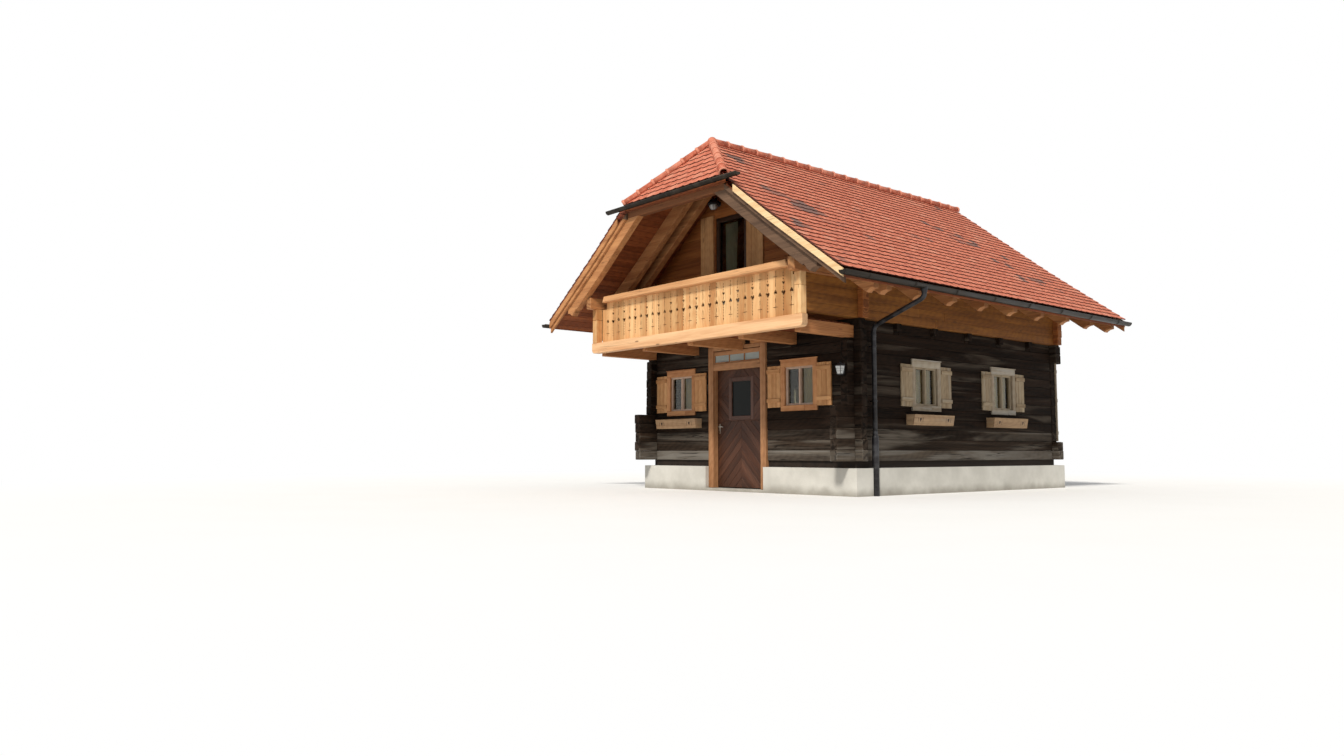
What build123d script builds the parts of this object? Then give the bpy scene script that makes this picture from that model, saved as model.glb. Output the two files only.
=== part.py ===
from build123d import *
import math
import os

# Alpine log chalet with a half-hipped tiled roof and a carved balcony.
# Millimetres; X runs along the front to the right, Y from front to back, Z up from the lowest ground.
# The origin lies on the ground under the middle of the whole outline.

# House plan
wall_width = 4600
wall_length = 5650
log_thickness = 140
log_height = 158
groove_depth = 9
groove_half_height = 7

# Levels
foundation_top = 400
plinth_top = 500
storey_top = 2560
upper_floor_thickness = 30
ground_floor_top = 45

# Foundation and plinth
foundation_projection = 95
foundation_thickness = 260
plinth_setback = 35
plinth_thickness = 90

# Log ends
side_log_end_front = 160
side_log_end_front_low = 420
low_log_courses = 5
side_log_end_back = 30
sill_log_end_back = 270
front_log_end_side = 130
upper_log_end_side = 100

# Upper storey
knee_wall_height = 530
upper_wall_outset = 80
upper_wall_thickness = 140
upper_log_height = 145

# Roof, whose height follows from where the rafters sit on the purlins
upper_pitch_rise = 0.79
kick_pitch_rise = 0.745
kick_inside_wall = 300
eave_overhang = 1100
verge_front = 1520
verge_back = 550
hip_run = 875
hip_pitch_rise = 1.0743
tile_depth = 55
board_depth = 110
rafter_depth = 285
rafter_width = 120
rafter_seat_past_purlin = 34
rafter_end_from_eave = 200
front_rafter_end_from_eave = 520
tail_scoop = 150
tail_nose = 70
eave_board_inset = 35
front_rafter_from_front = -1390
overhang_rafters_from_front = (-630, -350)
inner_rafter_from_front = 380
rafter_spacing = 820
inner_rafter_count = 7
back_rafter_from_verge = 130
barge_thickness = 30
barge_depth = 110
verge_rafter_depth = 75
verge_rafter_width = 40
hip_plate_under_eave = 220
hip_plate_past_corner = 60

# Balcony
balcony_depth = 1250
console_width = 120
console_depth = 180
console_under_storey = 280
deck_thickness = 30
front_beam_over_console = 50
front_beam_height = 175
front_beam_thickness = 120
front_beam_overhang = 50
front_beam_corner = 60
post_size = 120
purlin_width = 130
purlin_height = 190
purlin_front_reach = 1380
purlin_outset = 55
handrail_over_purlin_bottom = 100
handrail_height = 100
handrail_front = 1300
handrail_depth = 200
handrail_purlin_gap = 130
handrail_bevel = 45
railing_board_thickness = 25
post_inset = 30
railing_post_gap = 5
railing_floor_gap = 10
railing_board_count = 30
cut_out_height = 78
cut_out_width = 54
heart_under_rail = 320
spade_under_rail = 262

# Front door
door_centre = -120
doorway_width = 1330
doorway_top = 2370
jamb_width = 120
frame_front_projection = 30
rebate_width = 15
rebate_start = 85
leaf_top = 2000
leaf_bottom_gap = 15
leaf_thickness = 50
leaf_clearance = 5
free_edge_clearance = 7
transom_rail_height = 95
transom_bar_width = 35
transom_head_height = 60
transom_glass_thickness = 6
transom_glass_setback = 10
leaf_window_width = 440
leaf_window_bottom = 1225
leaf_window_top = 1790
door_glass_setback = 20
hinge_barrel_radius = 11
hinge_pin_radius = 6
hinge_running_clearance = 0.05
hinge_half_height = 55
hinge_washer = 1
hinge_pin_short = 2
hinge_plate_thickness = 4
hinge_heights = (400, 1700)
hinge_leaf_length = 50
hinge_arm_width = 8

# Windows
window_width = 600
window_bottom = 1330
window_top = 1950
sash_member = 45
sash_depth = 70
sash_setback = 12
casing_width = 70
casing_head = 90
casing_thickness = 24
glass_thickness = 6
shutter_width = 280
shutter_height = 650
shutter_thickness = 26
batten_height = 45
batten_thickness = 16
front_window_centres = (-1500, 1235)
side_window_from_front = (1720, 3910)
gable_window_width = 600
gable_window_sill = 890
gable_window_height = 600
flower_box_length = 1040
flower_box_top = 1200
flower_box_height = 160
flower_box_depth = 165
flower_box_taper = 30
flower_box_wall = 18

# Balcony door
balcony_door_centre = -255
balcony_door_width = 730
balcony_door_height = 1970
balcony_door_member = 75
balcony_pane_sill = 300
balcony_door_setback = 20
balcony_door_depth = 70
balcony_shutters = ((-970, -650, 2030), (130, 510, 1830))
balcony_shutter_gap = 40

# Gutters and pipes
gutter_radius = 62
front_gutter_radius = 55
gutter_sheet = 4
gutter_drop = 12
seat_gap = 0.3
front_gutter_half_length = 1470
gutter_end_past_verge = 80
pipe_radius = 35
standpipe_radius = 50
standpipe_top = 870
pipe_wall_gap = 60
pipe_from_front = 330
pipe_outlet_from_front = 120
pipe_neck = 90
pipe_knee = 2460
pipe_notch_gap = 5
pipe_bracket_heights = (1370, 2165)
pipe_bracket_size = 30

# Ridge and hip caps
cap_radius = 77

# Door handle
handle_height = 1000
handle_inset = 48
handle_plate = (40, 170, 8)
handle_lever_length = 130

# Lamps
wall_lamp_width = 130
wall_lamp_depth = 110
wall_lamp_height = 190
wall_lamp_bottom = 1730
lamp_bracket = 60
lamp_bracket_reach = 20
globe_radius = 100
globe_chamfer = 58
globe_centre_x = -525
globe_over_door = 205
globe_from_wall = 140

# Cover board on the back log ends
cover_board_bottom = 830
cover_board_top = 2240
cover_board_thickness = 40
cover_board_past_wall = 20

# Derived places
half_width = wall_width / 2
kick_from_ridge = half_width - kick_inside_wall
eave_from_ridge = half_width + eave_overhang
purlin_bottom = storey_top + knee_wall_height
purlin_top = purlin_bottom + purlin_height
purlin_x = half_width + purlin_outset
roof_build_up = tile_depth + board_depth + rafter_depth
seat_past_kick = purlin_x + rafter_seat_past_purlin - kick_from_ridge
rafter_seat_rise = kick_from_ridge * upper_pitch_rise + seat_past_kick * kick_pitch_rise
ridge_height = purlin_top + roof_build_up + rafter_seat_rise
hip_eave_height = ridge_height - hip_run * hip_pitch_rise
rafter_tail = eave_from_ridge - rafter_end_from_eave
front_rafter_tail = eave_from_ridge - front_rafter_end_from_eave
console_bottom = storey_top - console_under_storey
front_beam_bottom = console_bottom + front_beam_over_console
front_beam_top = front_beam_bottom + front_beam_height
handrail_bottom = purlin_bottom + handrail_over_purlin_bottom
handrail_half_length = purlin_x - purlin_width / 2 - handrail_purlin_gap
balcony_door_x0 = balcony_door_centre - balcony_door_width / 2
balcony_door_x1 = balcony_door_centre + balcony_door_width / 2
balcony_sill = storey_top + upper_floor_thickness
balcony_door_top = balcony_sill + balcony_door_height
gable_window_bottom = storey_top + gable_window_sill
gable_window_top = gable_window_bottom + gable_window_height
front_reach = verge_front + 2 * front_gutter_radius + seat_gap
back_reach = wall_length + verge_back
front_y = (front_reach - back_reach) / 2
back_y = front_y + wall_length
inner_x = half_width - log_thickness
front_inner_y = front_y + log_thickness
back_inner_y = back_y - log_thickness
verge_front_y = front_y - verge_front
verge_back_y = back_y + verge_back
apex_y = verge_front_y + hip_run
balcony_front_y = front_y - balcony_depth
upper_outer_x = half_width + upper_wall_outset
upper_inner_x = upper_outer_x - upper_wall_thickness
doorway_x0 = door_centre - doorway_width / 2
doorway_x1 = door_centre + doorway_width / 2
far = 20000


def block(x0, x1, y0, y1, z0, z1):
    """A box between two corners."""
    size = Box(x1 - x0, y1 - y0, z1 - z0)
    return Pos((x0 + x1) / 2, (y0 + y1) / 2, (z0 + z1) / 2) * size


def along_y(points, y0, y1):
    """A prism of an XZ outline from y0 to y1."""
    face = Face(Wire.make_polygon([(x, y0, z) for x, z in points], close=True))
    return Solid.extrude(face, Vector(0, y1 - y0, 0))


def along_x(points, x0, x1):
    """A prism of a YZ outline from x0 to x1."""
    face = Face(Wire.make_polygon([(x0, y, z) for y, z in points], close=True))
    return Solid.extrude(face, Vector(x1 - x0, 0, 0))


def along_z(points, z0, z1):
    """A prism of an XY outline from z0 to z1."""
    face = Face(Wire.make_polygon([(x, y, z0) for x, y in points], close=True))
    return Solid.extrude(face, Vector(0, 0, z1 - z0))


def save(name, *shapes):
    """Write one node from its solids."""
    solids = []
    for shape in shapes:
        solids.extend(shape.solids())
    export_step(Compound(children=solids) if len(solids) > 1 else solids[0], f"parts/{name}.step")


# Roof surfaces

def roof_z(x, drop=0):
    """Height of the tiled slope at a distance from the ridge, lowered by drop."""
    x = abs(x)
    upper = min(x, kick_from_ridge)
    lower = max(x - kick_from_ridge, 0)
    return ridge_height - upper * upper_pitch_rise - lower * kick_pitch_rise - drop


def hip_z(y, drop=0):
    """Height of the half-hip at y, lowered by drop."""
    return hip_eave_height + (y - verge_front_y) * hip_pitch_rise - drop


def slope_outline(drop, reach, floor):
    """Outline under both slopes."""
    right = [(reach, floor), (reach, roof_z(reach, drop)), (kick_from_ridge, roof_z(kick_from_ridge, drop))]
    left = [(-x, z) for x, z in reversed(right)]
    return right + [(0, roof_z(0, drop))] + left


def over_hip(drop):
    """The space over the half-hip plane."""
    y0 = verge_front_y - 500
    y1 = apex_y + 300
    outline = [(y0, hip_z(y0, drop)), (y1, hip_z(y1, drop)), (y1, far), (y0, far)]
    return along_x(outline, -far / 2, far / 2)


def under_roof(drop, reach, y0, y1, floor=1500):
    """All that lies under the roof surface lowered by drop."""
    return along_y(slope_outline(drop, reach, floor), y0, y1) - over_hip(drop)


def roof_layer(drop, depth, reach, y0, y1):
    """A sheet of the roof, drop under the tiles and depth thick, measured upright."""
    below = under_roof(drop + depth, reach + 1, y0 - 1, y1 + 1, 1000)
    return under_roof(drop, reach, y0, y1) - below


def hip_corner():
    """Half width of the hip at the front verge."""
    return (ridge_height - hip_eave_height) / upper_pitch_rise


def split_roof(layer):
    """Right slope, left slope and half-hip, parted along the hip lines."""
    half = hip_corner()
    run = apex_y - verge_front_y
    extra = 400
    wide = half * (run + extra) / run
    hip_prism = along_z([(-wide, verge_front_y - extra), (wide, verge_front_y - extra), (0, apex_y)], 0, far)
    hip = layer & hip_prism
    slopes = layer - hip_prism
    right = slopes & block(0, far / 2, -far / 2, far / 2, 0, far)
    left = slopes & block(-far / 2, 0, -far / 2, far / 2, 0, far)
    return right, left, hip


# Log walls

def log_outline(outer, inner, z0, z1, height):
    """Section of a wall of squared logs, flat inside and with V joints outside, as (depth, z)."""
    count = max(1, round((z1 - z0) / height))
    step = (z1 - z0) / count
    sign = 1 if inner > outer else -1
    outside = [(outer, z0)]
    for k in range(1, count):
        z = z0 + k * step
        outside.append((outer, z - groove_half_height))
        outside.append((outer + sign * groove_depth, z))
        outside.append((outer, z + groove_half_height))
    outside.append((outer, z1))
    return outside + [(inner, z1), (inner, z0)]


def lap_cuts(x0, x1, y0, y1, z0, z1, height, upper):
    """Halves of each course that one wall gives up to the other where two walls cross."""
    count = max(1, round((z1 - z0) / height))
    step = (z1 - z0) / count
    cuts = []
    for k in range(count):
        low = z0 + k * step
        if upper:
            cuts.append(block(x0, x1, y0, y1, low + step / 2, low + step))
        else:
            cuts.append(block(x0, x1, y0, y1, low, low + step / 2))
    return cuts


def corners(wall, x_outer, x_inner, ys, z0, z1, height, upper):
    """Lap a wall with its neighbours at each crossing."""
    cuts = []
    for side in (-1, 1):
        xs = sorted((side * x_outer, side * x_inner))
        for y0, y1 in ys:
            cuts.extend(lap_cuts(xs[0], xs[1], y0, y1, z0, z1, height, upper))
    box = wall.bounding_box()
    near = [
        c for c in cuts
        if c.bounding_box().min.X < box.max.X and c.bounding_box().max.X > box.min.X
        and c.bounding_box().min.Y < box.max.Y and c.bounding_box().max.Y > box.min.Y
    ]
    return wall - near if near else wall


ground_crossings = ((front_y, front_inner_y), (back_inner_y, back_y))


def ground_laps(wall, upper):
    """Lapped corners of the ground storey."""
    return corners(wall, half_width, inner_x, ground_crossings, plinth_top, storey_top, log_height, upper)


def upper_laps(wall, upper):
    """Lapped corners of the upper storey."""
    levels = (storey_top, purlin_bottom, upper_log_height)
    return corners(wall, upper_outer_x, upper_inner_x, ground_crossings, *levels, upper)


# Places of windows, each as centre, outward direction and wall face

def window_places():
    """Ground storey windows: (x, y, turn about Z) of the middle of each on its outer wall face."""
    places = [(x, front_y, 0) for x in front_window_centres]
    for from_front in side_window_from_front:
        places.append((half_width, front_y + from_front, 90))
        places.append((-half_width, front_y + from_front, -90))
    places.append((0, back_y, 180))
    return places


def placed(shape, place):
    """Move a shape drawn facing -Y at the origin to its place on a wall."""
    x, y, turn = place
    return Pos(x, y, 0) * Rot(0, 0, turn) * shape


def window_hole(width, bottom, top, depth):
    """The opening in the wall."""
    return block(-width / 2, width / 2, -far / 100, depth, bottom, top)


def window_frame(width, bottom, top):
    """Sashes with a centre member, and the casing boards on the wall's face."""
    half = width / 2
    frame = block(-half, half, sash_setback, sash_setback + sash_depth, bottom, top)
    casing = block(-half - casing_width, half + casing_width, -casing_thickness, 0, bottom - casing_width,
                   top + casing_head)
    lip = sash_member / 3
    lining = block(-half, half, 0, sash_setback, bottom, top)
    opening = block(-half + lip, half - lip, -casing_thickness - 1, sash_setback, bottom + lip, top - lip)
    casing -= opening
    lining -= opening
    for x0, x1 in pane_spans(width):
        frame -= block(x0, x1, 0, sash_setback + sash_depth + 1, bottom + sash_member, top - sash_member)
    return frame + lining + casing


def pane_spans(width):
    """The two panes between the frame and the centre member."""
    half = width / 2
    return ((-half + sash_member, -sash_member / 2), (sash_member / 2, half - sash_member))


def window_panes(width, bottom, top):
    """Two sheets of glass."""
    middle = sash_setback + sash_depth / 2
    return [
        block(x0, x1, middle, middle + glass_thickness, bottom + sash_member, top - sash_member)
        for x0, x1 in pane_spans(width)
    ]


def shutter(side, width, bottom, top):
    """A plank shutter with two battens, held open flat on the wall."""
    start = width / 2 + casing_width
    x0, x1 = sorted((side * start, side * (start + shutter_width)))
    leaf = block(x0, x1, -shutter_thickness, 0, bottom, top)
    for z in (bottom + batten_height * 2, top - batten_height * 3):
        leaf += block(x0, x1, -shutter_thickness - batten_thickness, -shutter_thickness, z, z + batten_height)
    return leaf


def flower_box():
    """A tapered open box of boards."""
    top = flower_box_top
    bottom = flower_box_top - flower_box_height
    half = flower_box_length / 2
    foot = flower_box_depth - flower_box_taper
    wall = flower_box_wall
    outer = along_x([(0, bottom), (-foot, bottom), (-flower_box_depth, top), (0, top)], -half, half)
    hollow = [
        (-wall, bottom + wall),
        (-foot + wall, bottom + wall),
        (-flower_box_depth + wall, top + 1),
        (-wall, top + 1),
    ]
    inner = along_x(hollow, -half + wall, half - wall)
    return outer - inner


os.makedirs("parts", exist_ok=True)

# Foundation, plinth and ground floor

def ring(outset, thickness, z0, z1):
    """A closed wall round the house, open at the doorway."""
    x1 = half_width + outset
    y0 = front_y - outset
    y1 = back_y + outset
    shape = block(-x1, x1, y0, y1, z0, z1)
    shape -= block(-x1 + thickness, x1 - thickness, y0 + thickness, y1 - thickness, z0 - 1, z1 + 1)
    return shape - block(doorway_x0, doorway_x1, y0 - 1, y0 + thickness + 1, z0 - 1, z1 + 1)


pipe_x = half_width + pipe_wall_gap + pipe_radius
foundation = ring(foundation_projection, foundation_thickness, 0, foundation_top)
for side in (-1, 1):
    foundation -= Pos(side * pipe_x, front_y + pipe_from_front, foundation_top / 2) * Cylinder(
        standpipe_radius + pipe_notch_gap, foundation_top + 2
    )
save("foundation", foundation)
save("plinth", ring(-plinth_setback, plinth_thickness, foundation_top, plinth_top))
floor_x = half_width + foundation_projection - foundation_thickness
floor_y0 = front_y - foundation_projection + foundation_thickness
floor_y1 = back_y + foundation_projection - foundation_thickness
ground_slab = block(-floor_x, floor_x, floor_y0, floor_y1, 0, ground_floor_top)
ground_slab += block(doorway_x0, doorway_x1, front_y - foundation_projection, floor_y0, 0, ground_floor_top)
save("ground_floor", ground_slab)

# Floor joists across the house, and the console beams that carry the balcony
joist_depth = 115
joist_width = 120
joist_spacing = 940
joist_from_front = 1000
joist_count = 5
joist_half_length = half_width + 60
joists = [
    block(-joist_half_length, joist_half_length, y - joist_width / 2, y + joist_width / 2,
          storey_top - joist_depth, storey_top)
    for y in (front_y + joist_from_front + k * joist_spacing for k in range(joist_count))
]
save("floor_joists", *joists)

console_reach = half_width - console_width / 2
console_places = [-console_reach + k * console_reach / 2 for k in range(5)]
console_end_y = balcony_front_y + front_beam_thickness
jamb_y0 = front_y - frame_front_projection
door_frame_room = block(doorway_x0, doorway_x1, jamb_y0, front_inner_y, 0, doorway_top)
consoles = []
for x in console_places:
    at_side_wall = abs(x) == console_reach
    end_y = front_y if at_side_wall else front_inner_y
    console = block(x - console_width / 2, x + console_width / 2, console_end_y, end_y,
                    console_bottom, console_bottom + console_depth)
    consoles.append(console - door_frame_room)
front_beam = block(-upper_outer_x - front_beam_overhang, upper_outer_x + front_beam_overhang,
                   balcony_front_y, balcony_front_y + front_beam_thickness, front_beam_bottom, front_beam_top)
lower_ends = front_beam.edges().filter_by(Axis.Y).sort_by(Axis.Z)[:2]
front_beam = fillet(lower_ends, front_beam_corner)
save("balcony_front_beam", front_beam)
save("console_beams", *consoles)

deck_bottom = console_bottom + console_depth
deck = block(-upper_inner_x, upper_inner_x, console_end_y, front_y, deck_bottom, deck_bottom + deck_thickness)
save("balcony_deck", deck)

# Ground storey log walls
front_section = log_outline(front_y, front_inner_y, plinth_top, storey_top, log_height)
back_section = log_outline(back_y, back_inner_y, plinth_top, storey_top, log_height)
front_half = half_width + front_log_end_side
front_wall = along_x(front_section, -front_half, front_half)
back_wall = along_x(back_section, -front_half, front_half)
front_wall = ground_laps(front_wall, True)
back_wall = ground_laps(back_wall, True)
front_wall -= consoles
doorway = block(doorway_x0, doorway_x1, front_y - 1, front_inner_y + 1, 0, doorway_top)

course = (storey_top - plinth_top) / round((storey_top - plinth_top) / log_height)
low_top = plinth_top + low_log_courses * course
side_walls = {}
for side in (-1, 1):
    section = log_outline(side * half_width, side * inner_x, plinth_top, storey_top, log_height)
    log_end_low_y = front_y - side_log_end_front_low
    log_end_y = front_y - side_log_end_front
    wall = along_y(section, log_end_low_y, back_y + sill_log_end_back)
    x0, x1 = sorted((side * (half_width + 1), side * (inner_x - 1)))
    wall -= block(x0, x1, log_end_low_y - 1, log_end_y, low_top, storey_top + 1)
    wall -= block(x0, x1, back_y + side_log_end_back, back_y + sill_log_end_back + 1, plinth_top + course * 2,
                  storey_top - course * 2)
    wall -= block(x0, x1, log_end_y - 1, front_y, console_bottom, storey_top + 1)
    wall = ground_laps(wall, False)
    wall -= joists
    side_walls[side] = wall

for place in window_places():
    hole = placed(window_hole(window_width, window_bottom, window_top, log_thickness + 5), place)
    x, y, turn = place
    if turn == 0:
        front_wall -= hole
    elif turn == 180:
        back_wall -= hole
    else:
        side = 1 if x > 0 else -1
        side_walls[side] -= hole

over_door = front_wall & block(doorway_x0, doorway_x1, front_y - 500, front_y + 500, doorway_top, storey_top)
save("front_wall_left", front_wall & block(-far, doorway_x0, -far, far, 0, far))
save("front_wall_right", front_wall & block(doorway_x1, far, -far, far, 0, far))
save("front_wall_over_door", over_door)
save("back_wall", back_wall)
save("right_wall", side_walls[1])
save("left_wall", side_walls[-1])

# Upper floor
upper_floor_top = storey_top + upper_floor_thickness
upper_floor = block(-upper_inner_x, upper_inner_x, front_inner_y, back_inner_y, storey_top, upper_floor_top)
save("upper_floor", upper_floor)

# Purlins on the side walls
purlin_y0 = front_y - purlin_front_reach
purlin_y1 = verge_back_y - back_rafter_from_verge - rafter_width / 2
purlin_inner_x = purlin_x - purlin_width / 2
purlins = []
for side in (-1, 1):
    x0, x1 = sorted((side * purlin_inner_x, side * (purlin_inner_x + purlin_width)))
    purlins.append(block(x0, x1, purlin_y0, purlin_y1, purlin_bottom, purlin_top))
save("eave_purlins", *purlins)

# Upper side walls, which run forward as the cheeks of the balcony
for side, name in ((1, "upper_right_wall"), (-1, "upper_left_wall")):
    outer = side * upper_outer_x
    inner = side * upper_inner_x
    section = log_outline(outer, inner, storey_top, purlin_bottom, upper_log_height)
    wall = along_y(section, console_end_y + railing_board_thickness, back_y + side_log_end_back)
    save(name, upper_laps(wall, False))

# Gable walls
boards_bottom = tile_depth + board_depth
gables = {}
for face_y, inner_y, key in ((front_y, front_inner_y, "front"), (back_y, back_inner_y, "back")):
    top = ridge_height - boards_bottom
    log_part = log_outline(face_y, inner_y, storey_top, purlin_bottom, upper_log_height)
    wall = along_x(log_part, -upper_outer_x - upper_log_end_side, upper_outer_x + upper_log_end_side)
    wall = upper_laps(wall, True)
    upper_part = log_outline(face_y, inner_y, purlin_bottom, top, upper_log_height)
    gable = along_x(upper_part, -upper_outer_x, upper_outer_x)
    gable &= under_roof(boards_bottom, eave_from_ridge, verge_front_y, verge_back_y)
    gables[key] = (wall + gable) - purlins

gables["front"] -= block(balcony_door_x0, balcony_door_x1, front_y - 1, front_inner_y + 1, balcony_sill,
                         balcony_door_top)
gable_window_place = (0, back_y, 180)
gable_window = (gable_window_width, gable_window_bottom, gable_window_top)
gables["back"] -= placed(window_hole(*gable_window, log_thickness + 5), gable_window_place)
save("front_gable_wall", gables["front"])
save("back_gable_wall", gables["back"])

# Balcony door, fixed shut
balcony_door_y0 = front_y + balcony_door_setback
balcony_door_y1 = balcony_door_y0 + balcony_door_depth
door_lining = block(balcony_door_x0, balcony_door_x1, balcony_door_y0, balcony_door_y1, balcony_sill,
                    balcony_door_top)
pane_x0 = balcony_door_x0 + balcony_door_member
pane_x1 = balcony_door_x1 - balcony_door_member
pane_z0 = balcony_sill + balcony_pane_sill
pane_z1 = balcony_door_top - balcony_door_member
door_lining -= block(pane_x0, pane_x1, balcony_door_y0 - 1, balcony_door_y1 + 1, pane_z0, pane_z1)
save("balcony_door", door_lining)
balcony_pane_y = (balcony_door_y0 + balcony_door_y1) / 2
balcony_pane = block(pane_x0, pane_x1, balcony_pane_y, balcony_pane_y + glass_thickness, pane_z0, pane_z1)

# Balcony posts, handrail and railing
post_x = upper_outer_x - post_inset
post_middle_y = balcony_front_y + post_size / 2
post_height = purlin_bottom - front_beam_top
post = Pos(0, post_middle_y, front_beam_top + post_height / 2) * Box(post_size, post_size, post_height)
save("balcony_posts", Pos(-post_x, 0, 0) * post, Pos(post_x, 0, 0) * post)
rail_y0 = front_y - handrail_front
rail_outline = [
    (-handrail_half_length, handrail_bottom),
    (handrail_half_length, handrail_bottom),
    (handrail_half_length - handrail_bevel, handrail_bottom + handrail_height),
    (-handrail_half_length + handrail_bevel, handrail_bottom + handrail_height),
]
save("balcony_handrail", along_y(rail_outline, rail_y0, rail_y0 + handrail_depth))
railing_y0 = console_end_y
railing_y1 = railing_y0 + railing_board_thickness
railing_bottom = deck_bottom + deck_thickness + railing_floor_gap
railing_half_width = post_x - post_size / 2 - railing_post_gap
railing_end_top = purlin_bottom - railing_post_gap
railing = along_y(
    [
        (-railing_half_width, railing_bottom),
        (railing_half_width, railing_bottom),
        (railing_half_width, railing_end_top),
        (handrail_half_length, railing_end_top),
        (handrail_half_length, handrail_bottom),
        (-handrail_half_length, handrail_bottom),
        (-handrail_half_length, railing_end_top),
        (-railing_half_width, railing_end_top),
    ],
    railing_y0,
    railing_y1,
)


def cut_out(x, z, up):
    """A heart, or a spade where up is 1, sawn through the railing at a seam between boards."""
    outline = [(0, -0.5), (0.5, 0.18), (0.26, 0.5), (0, 0.3), (-0.26, 0.5), (-0.5, 0.18)]
    flip = -1 if up else 1
    points = [(x + a * cut_out_width, z + flip * b * cut_out_height) for a, b in outline]
    return along_y(points, railing_y0 - 1, railing_y1 + 1)


board_pitch = 2 * railing_half_width / railing_board_count
for k in range(1, railing_board_count):
    up = k % 2
    z = handrail_bottom - (spade_under_rail if up else heart_under_rail)
    railing -= cut_out(-railing_half_width + k * board_pitch, z, up)
save("balcony_railing", railing)

# Roof
tiles = roof_layer(0, tile_depth, eave_from_ridge, verge_front_y, verge_back_y)
tile_right, tile_left, tile_hip = split_roof(tiles)
save("roof_tiles_right", tile_right)
save("roof_tiles_left", tile_left)
save("roof_tiles_hip", tile_hip)
eave_board_x = eave_from_ridge - eave_board_inset
board_front_y = verge_front_y + barge_thickness
board_back_y = verge_back_y - barge_thickness
boards = roof_layer(tile_depth, board_depth, eave_board_x, board_front_y, board_back_y)
board_right, board_left, board_hip = split_roof(boards)
save("roof_boards_right", board_right)
save("roof_boards_left", board_left)
save("roof_boards_hip", board_hip)

# Rafters with sawn tails
rafter_room = under_roof(boards_bottom, eave_from_ridge, verge_front_y - 100, verge_back_y)
front_rafter_y = front_y + front_rafter_from_front
back_rafter_y = verge_back_y - back_rafter_from_verge
rafter_ys = [front_y + at for at in overhang_rafters_from_front]
rafter_ys += [front_y + inner_rafter_from_front + k * rafter_spacing for k in range(inner_rafter_count)]
rafter_ys += [back_rafter_y]


def slope_strip(drop, depth, reach, y0, y1):
    """A strip under both slopes, kept under the half-hip."""
    outer = along_y(slope_outline(drop, reach, 1500), y0, y1)
    inner = along_y(slope_outline(drop + depth, reach + 1, 1000), y0 - 1, y1 + 1)
    return outer - inner


def tail_cuts(side, y, tail, nose):
    """What is sawn away under a rafter's tail: a hollow in three cuts, and in front a notch behind it."""
    corner_z = roof_z(tail, boards_bottom + rafter_depth)
    hollow = [(1, 0.95), (-0.3, 0.97), (-0.75, 0.72), (-0.9, 0.45), (-1, -1), (1, -1)]
    outlines = [[(tail + a * tail_scoop, corner_z + b * tail_scoop) for a, b in hollow]]
    if nose:
        middle = tail - tail_scoop - nose
        line_z = corner_z + (tail - middle) * kick_pitch_rise
        notch = [(-0.5, 0.5 * kick_pitch_rise), (-0.1, 0.45), (0.5, -0.5 * kick_pitch_rise), (0, -1)]
        outlines.append([(middle + a * nose, line_z + b * nose) for a, b in notch])
    y0 = y - rafter_width
    y1 = y + rafter_width
    return [along_y([(side * x, z) for x, z in outline], y0, y1) for outline in outlines]


def rafter_pair(y, tail, nose=0):
    """A pair of rafters with shaped tails."""
    half = rafter_width / 2
    pair = slope_strip(boards_bottom, rafter_depth, tail, y - half, y + half) & rafter_room
    return pair - tail_cuts(1, y, tail, nose) - tail_cuts(-1, y, tail, nose)


rafters = [rafter_pair(y, rafter_tail) for y in rafter_ys]
front_plate_y0 = front_rafter_y - rafter_width / 2
front_plate_y1 = front_rafter_y + rafter_width / 2
hip_plate_bottom = hip_eave_height - hip_plate_under_eave
hip_plate_half_length = hip_corner() + hip_plate_past_corner
hip_plate_room = block(-hip_plate_half_length, hip_plate_half_length, front_plate_y0 - 1, front_plate_y1 + 1,
                       hip_plate_bottom, ridge_height)
rafters.append(rafter_pair(front_rafter_y, front_rafter_tail, tail_nose) - hip_plate_room)
verge_rafter_ys = (board_front_y, board_back_y - verge_rafter_width)
for y0 in verge_rafter_ys:
    y1 = y0 + verge_rafter_width
    verge_strip = slope_strip(boards_bottom, verge_rafter_depth, eave_board_x, y0, y1) & rafter_room
    if y0 == board_front_y:
        verge_strip -= hip_plate_room & block(-far, far, y0 - 1, y1 + 1, 0, far)
    rafters.append(verge_strip)
hip_plate = block(-hip_plate_half_length, hip_plate_half_length, front_plate_y0, front_plate_y1,
                  hip_plate_bottom, ridge_height)
save("hip_plate", hip_plate & rafter_room)
for side, name in ((1, "rafters_right"), (-1, "rafters_left")):
    x0, x1 = sorted((0, side * far / 2))
    half_space = block(x0, x1, -far / 2, far / 2, 0, far)
    pieces = []
    for rafter in rafters:
        piece = (rafter & half_space) - purlins
        pieces.extend(piece.solids())
    save(name, *pieces)

# Barge boards
barges = []
barge_top_x = hip_corner()
for y0, y1 in ((verge_front_y, board_front_y), (board_back_y, verge_back_y)):
    strip = slope_strip(tile_depth, barge_depth, eave_board_x, y0, y1)
    if y0 == verge_front_y:
        strip -= block(-barge_top_x, barge_top_x, y0 - 1, y1 + 1, 0, far)
    barges.extend(strip.solids())
save("barge_boards", *barges)

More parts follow.
